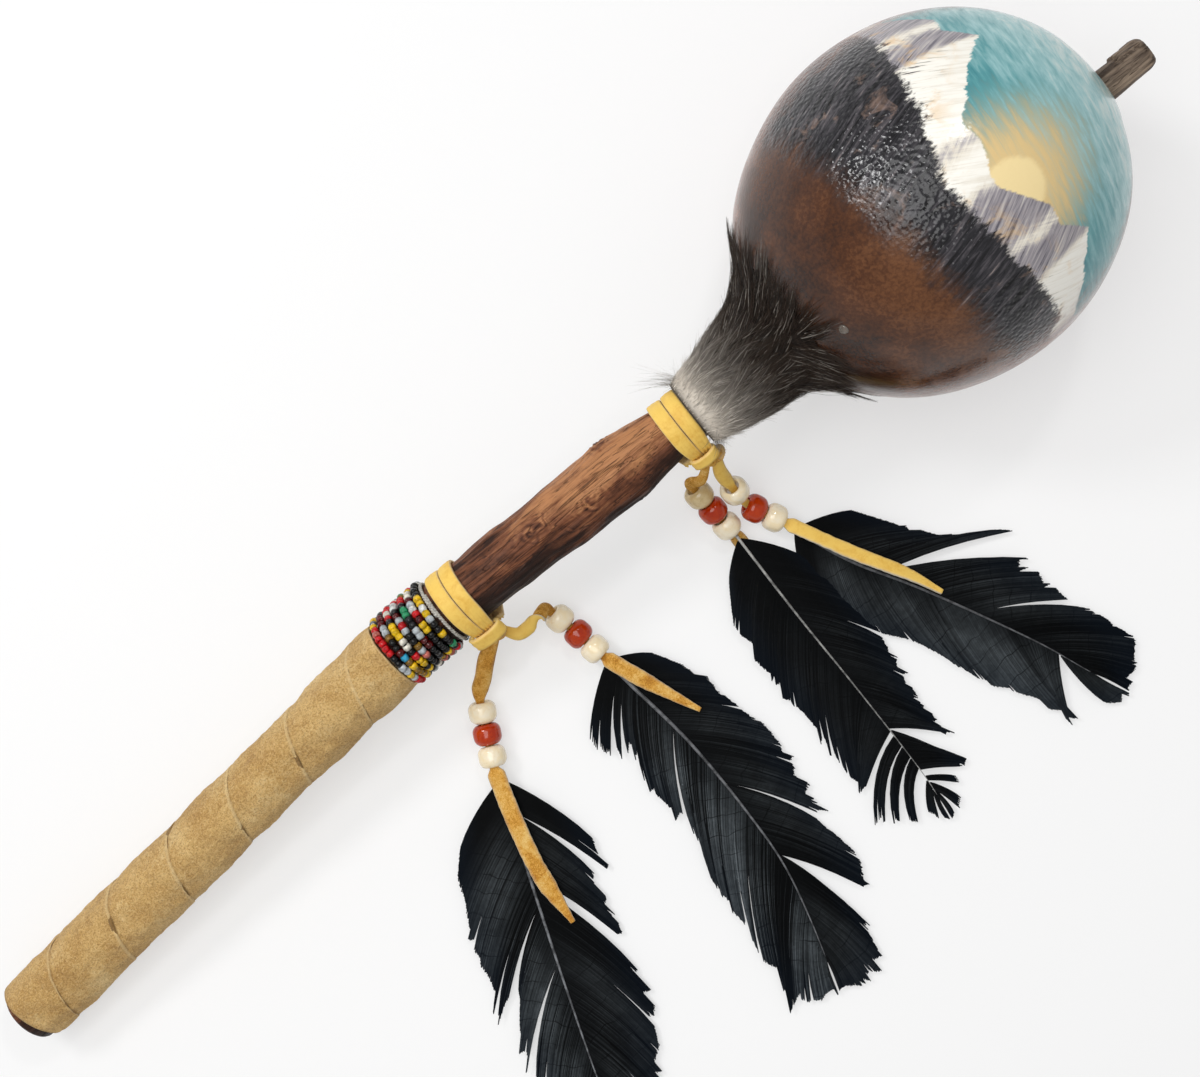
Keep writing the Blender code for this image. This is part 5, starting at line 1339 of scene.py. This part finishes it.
def makeGourdPaint():
    look = Finish("gourdPaint", Specular_IOR_Level=0.42)
    shift = tuple(fromWorld.translation - Vector(gourdMiddle))
    local = look.placed(look.where, shift=shift, turn=(0.0, tilt, 0.0))
    axes = look.split(local)
    angle = look.calc("ARCTAN2", axes["Y"], axes["Z"]) * (0.5 / math.pi) + 0.5
    along = axes["X"] * 1000.0
    # brush strokes bend every line a little, coarse and fine
    stroke = look.noise(local, 130.0, 5.0, 0.62, 0.6)
    fine = look.noise(look.placed(local, scale=(420.0, 1100.0, 1100.0)), 1.0, 4.0, 0.6, 0.5)
    uneven = stroke - 0.5
    jitter = uneven * 7.0 + (fine - 0.5) * 5.0
    bent = uneven * 0.014 + angle
    belowPeak = curveOf(look, bent, panel["peaks"]) + jitter * 0.45 - along
    belowSnow = jitter * 1.3 + curveOf(look, bent, panel["snowLine"]) - along
    belowEarth = jitter * 1.6 + curveOf(look, angle, panel["earthLine"]) - along
    # smoked, mottled shell that the picture fades into
    shell = look.use(mottle, Vector=local, Scale=58.0, Low="6A4337", High="AE8778")
    speckle = look.use(mottle, Vector=local, Scale=900.0, Low="523227", High="A87F6E")
    shellColour = look.mix(0.32, shell["Color"], speckle["Color"])
    earthTone = speckle["Mask"] * 0.22 + shell["Mask"] * 0.32
    earthTone = earthTone + look.remap(along, -48.0, -8.0, 0.0, 0.35, "LINEAR")
    earth = look.shades(earthTone, (0.10, "2C1A12"), (0.45, "502E19"), (0.80, "744A2C"))
    # strokes of the brush on the unrolled face, in millimetres, leaning with a slope
    plane = look.add("ShaderNodeCombineXYZ", {"X": angle * 333.0, "Y": along})

    def strokes(lean, wide, long):
        leaning = look.placed(plane, turn=(0.0, 0.0, math.radians(lean)))
        return look.noise(look.placed(leaning, scale=(1.0 / wide, 1.0 / long, 1.0)), 1.0, 4.0, 0.6, 0.35)

    # sky: turquoise strokes, paler towards the crown, with a low sun behind the range
    across = strokes(84.0, 1.6, 13.0)
    skyTone = across * 0.7 + look.remap(along, 8.0, 60.0, -0.10, 0.42, "LINEAR")
    sky = look.shades(skyTone, (0.20, "2F7C86"), (0.40, "5A9BA0"), (0.62, "9CC6C8"), (0.85, "D6E2DC"))
    sunAway = look.calc("SQRT", ((angle - 0.462) * 320.0) ** 2.0 + (along - 13.0) ** 2.0)
    glow = (across - 0.5) * 26.0 + sunAway
    sky = look.mix(look.remap(glow, 30.0, 8.0, 0.0, 0.88), sky, "EBC98A")
    sky = look.mix(look.remap(jitter * 0.25 + sunAway, 9.2, 7.2, 0.0, 0.9), sky, "F6DFA6")
    # snow: lit from one flank, mauve shade on the other, dry-brushed rock showing through
    flank = curveOf(look, bent + 0.012, panel["peaks"]) - curveOf(look, bent - 0.012, panel["peaks"])
    lit = look.remap(uneven * 5.0 + flank, -3.0, 3.0)
    slope = strokes(30.0, 0.9, 14.0) * (1.0 - lit) + strokes(-30.0, 0.9, 14.0) * lit
    snowTone = lit * 0.42 + (slope * 0.8 - 0.06)
    snow = look.shades(snowTone, (0.22, "6E6A74"), (0.40, "A9A3A6"), (0.58, "E9E2D4"), (0.78, "FBF8EF"))
    warm = look.remap(stroke, 0.50, 0.66) * look.remap(belowPeak, 2.0, 16.0)
    snow = look.mix(warm * 0.70, snow, "E4BC80")
    rockShow = look.remap(slope, 0.42, 0.35) * look.remap(belowPeak, 5.0, 20.0)
    snow = look.mix(rockShow, snow, "2B2A2C")
    # dark wooded foot of the range, with pale dry strokes
    upright = strokes(16.0, 1.5, 13.0)
    wood = look.shades(upright, (0.36, "0F0E10"), (0.52, "28272B"), (0.64, "504C50"), (0.76, "9A8C86"))
    wood = look.mix(look.remap(stroke, 0.58, 0.72, 0.0, 0.45), wood, "A88A7A")
    ground = look.remap(belowEarth, -5.0, 7.0)
    picture = look.mix(look.remap(belowPeak, 0.6, -0.4), snow, sky)
    picture = look.mix(look.remap(belowSnow, -0.8, 1.2), picture, wood)
    picture = look.mix(ground, picture, earth)
    # the picture covers the upper face and fades out round the sides
    panelEdge = look.remap(jitter * 0.010 + abs(angle - 0.5), 0.162, 0.240)
    colour = look.mix(panelEdge, picture, shellColour)
    inside = look.read("inside")
    # pebbled varnish, strongest on the dark foot, over faint brush ridges
    darkFoot = look.remap(belowSnow, -3.0, 4.0) * (1.0 - ground)
    depth = look.remap(darkFoot, 0.0, 1.0, 0.10, 1.0)
    height = look.pebbles(local, 820.0) * depth * 0.8 + fine * 0.12
    return look.set(Base_Color=look.mix(inside, colour, "C9A878"),
                    Roughness=look.remap(stroke, 0.35, 0.65, 0.13, 0.24) + inside * 0.6,
                    Normal=look.bump(height, 0.75, 0.0006))


def makeGourd():
    outer = gourdWall(0.0, 34, 46, 58)
    inner = gourdWall(gourd["wall"], 12, 16, 20)
    rings = onTable(np.concatenate([outer, inner[::-1]]))
    mesh = loft("gourdShell", rings, ringLoop=True)
    mark(mesh, "inside", np.repeat([0.0, 1.0], [len(outer) * gourd["sides"], len(inner) * gourd["sides"]]))
    addPiece("gourdShell", mesh, makeGourdPaint(), "rattle", "gourd_paint", "gourd_shell")
    # a drop of set glue beside the fur
    t = np.linspace(0.0, 1.0, 9)
    at = glue["at"]
    base = gourdPoint(at, glue["degrees"], gourdRadius(at), gourdShift(at))
    out = unit(base - gourdMiddle)
    one = unit(np.cross(out, (1.0, 0.2, 0.1)))
    size = glue["radius"] * np.sin(t * math.pi * 0.5 + 1e-3)
    rise = glue["rise"] * np.cos(t * math.pi * 0.5) - glue["dent"] * np.exp(-(t / 0.35) ** 2) - glue["sunk"]
    rings = base + spin(np.stack([size, rise], axis=-1), 20) @ np.stack([one, np.cross(out, one), out])
    look = Finish("setGlue", Transmission_Weight=0.85, IOR=1.45, Roughness=0.08)
    haze = look.use(mottle, Vector=look.where, Scale=900.0, Low="D8C8B4", High="F4ECE0")
    addPiece("glueDrop", loft("glueDrop", onTable(rings)), look.set(Base_Color=haze["Color"]), "rattle",
             "gourd_paint")


makeGourd()
print("gourd painted")


# fur sleeve on the neck: a thin skin, soft undercoat and longer guard hairs
fur = dict(start=0.2774, stop=0.3180, slope=0.0034, skinDepth=0.0009, locks=330, under=9000, guard=5600,
           strays=420, wisps=620, underLength=(0.0045, 0.0075), guardLength=(0.0075, 0.0120),
           strayLength=(0.0045, 0.0095), underRise=(0.0005, 0.0018), guardRise=(0.0006, 0.0030),
           strayRise=(0.0022, 0.0052), lean=(10.0, 30.0), lockLength=(0.0085, 0.0125),
           lockRise=(0.0008, 0.0034), flow=15.0, lockSwing=10.0, hairSwing=8.0, underWidth=0.00011,
           underThick=0.00010, guardWidth=0.00008, wispWidth=0.00005, glint=(0.08, 0.45),
           tones=((0.0, 1.0), (0.10, 0.92), (0.17, 0.44), (0.33, 0.18), (0.48, 0.03), (1.0, 0.0)))


def makeHairFinish():
    look = Finish("furHair", Specular_IOR_Level=0.2)
    along = look.split(look.read("strip", "Vector"))["X"]
    spark = look.read("spark")
    colour = look.use(strandColour, Along=along, Tone=look.read("tone"),
                      Dark=look.mix(spark, "0E0A08", "33251B"),
                      Pale="EDE4D8", Tip="503F32")
    return look.set(Base_Color=colour["Color"], Roughness=look.remap(spark, 0.0, 1.0, 0.30, 0.52))


def makeHideFinish():
    look = Finish("furHide", Specular_IOR_Level=0.1)
    hide = look.use(mottle, Vector=look.where, Scale=500.0, Low="120E0C", High="2A221D")
    return look.set(Base_Color=look.mix(look.read("pale"), hide["Color"], "DDD3C5"),
                    Roughness=look.remap(hide["Mask"], 0.0, 1.0, 0.9, 1.0))


def makeFur():
    finish = makeHairFinish()
    degrees = np.linspace(0.0, 360.0, 120, endpoint=False)
    share = np.linspace(0.0, 1.0, 26)
    skinEnd = fur["stop"] - fur["slope"] * np.cos(np.radians(degrees)) ** 2
    at = fur["start"] + (skinEnd - fur["start"])[None, :] * share[:, None]
    ends = np.minimum(1.0, np.minimum(share * 30.0, (1.0 - share) * 12.0))[:, None]
    outer = gourdPoint(at, degrees[None, :], gourdRadius(at) + 0.0003 + fur["skinDepth"] * ends, gourdShift(at))
    inner = gourdPoint(at, degrees[None, :], gourdRadius(at) + 0.0001, gourdShift(at))
    mesh = loft("furSkin", onTable(np.concatenate([outer, inner[::-1]])), ringLoop=True)
    paleShare = spread(share, fur["tones"]) * ease(share / 0.06)
    mark(mesh, "pale", np.repeat(np.concatenate([paleShare, paleShare[::-1]]), len(degrees)))
    addPiece("furSkin", mesh, makeHideFinish(), "rattle", "fur", "fur_collar")

    # arc length along the neck, so that a hair's tip lies on the surface ahead of its root
    table = np.linspace(fur["start"], gourd["middle"], 400)
    arc = np.concatenate([[0.0], np.cumsum(np.hypot(np.diff(table), np.diff(gourdRadius(table))))])

    def surface(at, degrees, height):
        return gourdPoint(at, degrees, gourdRadius(at) + height, gourdShift(at))

    def rooted(root, run, curl, across, rise, tone, spark):
        axes = dict(run=run, curl=curl, across=across, rise=rise)
        turned = {key: rows @ worldTurn.T for key, rows in axes.items()}
        return dict(root=onTable(root), **turned, tone=tone, spark=spark)

    def rootPlaces(count, draw):
        degrees = draw.uniform(0.0, 360.0, count)
        share = draw.random(count) ** 0.85
        end = fur["stop"] - fur["slope"] * np.cos(np.radians(degrees)) ** 2
        return degrees, share, fur["start"] + 0.0002 + (end - fur["start"]) * share

    def reachOut(at, degrees, long, swing):
        # where a hair of that length ends: arc length and degrees
        return (np.interp(at, table, arc) + long * np.cos(swing) * 0.93,
                degrees + np.degrees(long * np.sin(swing) / np.maximum(gourdRadius(at), 0.008)))

    # locks: hairs near one another swing together and close up at their tips, longest on the gourd
    draw = np.random.default_rng(80)
    lockDegrees, lockShare, lockAt = rootPlaces(fur["locks"], draw)
    tuft = ease((lockShare - 0.72) / 0.22) * draw.uniform(0.0, 0.9, fur["locks"])
    lockLong = draw.uniform(*fur["lockLength"], fur["locks"]) * (0.50 + 0.50 * ease(lockShare / 0.35))
    lockLong = lockLong * (1.0 + tuft)
    flow = unevenness(surface(lockAt, lockDegrees, 0.0), 0.016, 71)
    lockSwing = np.radians(fur["flow"] * flow + draw.normal(0.0, fur["lockSwing"], fur["locks"]))
    lockTipArc, lockTipDegrees = reachOut(lockAt, lockDegrees, lockLong, lockSwing)
    lockRise = draw.uniform(*fur["lockRise"], fur["locks"])

    def hairs(count, seed, lengths, tipHeight, wild, pull):
        draw = np.random.default_rng(seed)
        degrees, share, at = rootPlaces(count, draw)
        across = np.radians(angleFrom(degrees[:, None], lockDegrees)) * gourdRadius(at)[:, None]
        lock = np.hypot(at[:, None] - lockAt, across).argmin(axis=1)
        long = draw.uniform(*lengths, count) * (0.50 + 0.50 * ease(share / 0.35))
        swing = lockSwing[lock] + np.radians(draw.normal(0.0, fur["hairSwing"] * wild, count))
        lean = np.radians(draw.uniform(*fur["lean"], count))
        tipArc, tipDegrees = reachOut(at, degrees, long, swing)
        hold = pull * draw.uniform(0.5, 1.15, count) * (0.25 + 0.75 * ease(share / 0.40))
        tipArc = tipArc + hold * np.maximum(lockTipArc[lock] - tipArc, -0.5 * long)
        tipDegrees = tipDegrees + hold * angleFrom(lockTipDegrees[lock], tipDegrees)
        tipAt = np.interp(tipArc, arc, table)
        rise = draw.uniform(*tipHeight, count)
        root = surface(at, degrees, 0.0006)
        tip = surface(tipAt, tipDegrees, rise + hold * (lockRise[lock] - rise))
        long = np.linalg.norm(tip - root, axis=1)
        out = unit(surface(at, degrees, 0.01) - root)
        ahead = unit(surface(tipAt, tipDegrees, 0.0) - surface(at, degrees, 0.0))
        run = (ahead * np.cos(lean)[:, None] + out * np.sin(lean)[:, None]) * long[:, None]
        tone = spread(share + draw.normal(0.0, 0.035, count), fur["tones"]) * draw.uniform(0.7, 1.05, count)
        glint = draw.random(count) < 0.08 * wild
        tone = np.clip(np.where(glint, tone + draw.uniform(*fur["glint"], count), tone), 0.0, 1.0)
        return rooted(root, run, tip - root - run, unit(np.cross(ahead, out)), out, tone, draw.random(count))

    def addCoat(name, roots, strip, width, thickness):
        coat = growStrands(name, roots, strip, width, thickness, finish)
        addPiece(name, coat, None, "rattle", "fur")

    soft = makeStrip("softStrip", (1.0, 0.95, 0.7, 0.22), smooth=True)
    hair = makeStrip("hairStrip", (1.0, 1.0, 0.85, 0.6, 0.22), smooth=True)
    underRoots = hairs(fur["under"], 81, fur["underLength"], fur["underRise"], 1.0, 0.35)
    addCoat("furUndercoat", underRoots, soft, fur["underWidth"], fur["underThick"])
    guardRoots = hairs(fur["guard"], 82, fur["guardLength"], fur["guardRise"], 1.3, 0.72)
    strays = hairs(fur["strays"], 84, fur["strayLength"], fur["strayRise"], 1.9, 0.1)
    guardRoots = {key: np.concatenate([values, strays[key]]) for key, values in guardRoots.items()}
    addCoat("furGuardHair", guardRoots, hair, fur["guardWidth"], fur["guardWidth"])

    # wisps that stand out over the tie
    draw = np.random.default_rng(83)
    count = fur["wisps"]
    group = draw.random(count)
    fan, few = group < 0.20, group > 0.80
    fanned = draw.normal(2.0, 24.0, count)
    beneath = draw.normal(182.0, 8.0, count)
    degrees = np.where(fan, fanned, np.where(few, beneath, draw.uniform(0.0, 360.0, count)))
    at = fur["start"] + draw.uniform(0.0, 0.0040, count)
    root = surface(at, degrees, 0.0006)
    out = unit(surface(at, degrees, 0.01) - root)
    back = np.tile((-1.0, 0.0, 0.0), (count, 1))
    around = unit(np.cross(out, back))
    long = 0.0015 + np.where(fan, 0.0105, 0.0050) * draw.random(count) ** 1.6
    # those at the sides lean back past the tie
    beside = np.cos(np.radians(degrees))[:, None] ** 2
    run = out * draw.uniform(0.5, 1.0, count)[:, None]
    run = run + back * beside * draw.uniform(-0.45, 1.1, count)[:, None]
    run = (run + around * draw.normal(0.0, 0.35, count)[:, None]) * long[:, None]
    curl = back * beside * draw.uniform(0.0, 0.35, count)[:, None]
    curl = curl + around * draw.normal(0.0, 0.25, count)[:, None]
    curl = (curl + np.array([0.0, 0.0, -0.12])) * long[:, None]
    tone = draw.uniform(0.05, 0.60, count)
    wispRoots = rooted(root, run, curl, around, out, tone, draw.random(count))
    addCoat("furWisps", wispRoots, hair, fur["wispWidth"], fur["wispWidth"])


makeFur()
print("fur grown")

# dry seeds inside the gourd
seedFinish = mottled("drySeed", 700.0, "6B4A2C", "A98457", (0.6, 0.8), Specular_IOR_Level=0.3)
for name, node in frame["nodes"].items():
    if name.startswith("seed_"):
        node.material_slots[0].material = seedFinish

# pale table and soft light
stage = dict(level=-0.0007, flat=8.0, cove=2.2, wall=3.0, sides=72, tone=0.93, cover=0.5, world=0.40,
             aim=(0.02, -0.02, 0.03),
             lights=dict(keyLight=((-0.24, 0.58, 0.78), 0.22, 2.7), topLight=((-0.17, 0.14, 1.12), 0.80, 5.0),
                         sparkLight=((0.42, 0.30, 0.85), 0.09, 0.9)))
# the paper lies flat, then bends up into a backdrop all round
bend = np.radians(np.linspace(0.0, 90.0, 13))
reach = stage["flat"] + stage["cove"]
away = np.concatenate([[0.01, 1.0], stage["flat"] + stage["cove"] * np.sin(bend), [reach]])
high = np.concatenate([[0.0, 0.0], stage["cove"] * (1.0 - np.cos(bend)), [stage["wall"]]]) + stage["level"]
floorMesh = loft("table", spin(np.stack([away, high], axis=-1), stage["sides"]), openEnd=True)
paper = Finish("tablePaper", Roughness=0.9, Specular_IOR_Level=0.1)
grey, pale = ((stage["tone"] + lift,) * 3 for lift in (0.0, 0.01))
paper.set(Base_Color=paper.mix(paper.noise(paper.where, 2.0, 2.0), grey, pale))
# half of what the eye, metal and glass see of the paper is plain white, the rest keeps the shadow
rays = paper.add("ShaderNodeLightPath", out=None)
seen = paper.calc("MAXIMUM", rays["Is Camera Ray"], rays["Is Glossy Ray"])
seen = paper.calc("MAXIMUM", seen, rays["Is Transmission Ray"])
glow = paper.add("ShaderNodeEmission", {"Color": (1.0, 1.0, 1.0), "Strength": 1.0})
plain = Field(paper, paper.shader.outputs[0])
cover = paper.add("ShaderNodeMixShader", {0: seen * stage["cover"], 1: plain, 2: glow})
paper.feed(paper.tree.nodes["Material Output"].inputs["Surface"], cover)
floorMesh.materials.append(paper.material)
table = bpy.data.objects.new("table", floorMesh)
scene.collection.objects.link(table)


def softLight(name, place, size, power):
    data = bpy.data.lights.new(name, "AREA")
    data.shape = "DISK"
    data.size = size
    data.energy = power
    light = bpy.data.objects.new(name, data)
    light.location = place
    light.rotation_euler = (Vector(stage["aim"]) - Vector(place)).to_track_quat("-Z", "Y").to_euler()
    scene.collection.objects.link(light)


for name, setting in stage["lights"].items():
    softLight(name, *setting)
world = bpy.data.worlds.new("studio")
world.use_nodes = True
scene.world = world
backdrop = world.node_tree.nodes["Background"]
backdrop.inputs["Color"].default_value = (1.0, 1.0, 1.0, 1.0)
backdrop.inputs["Strength"].default_value = stage["world"]
scene.view_settings.view_transform = "Standard"
print("table and light set")
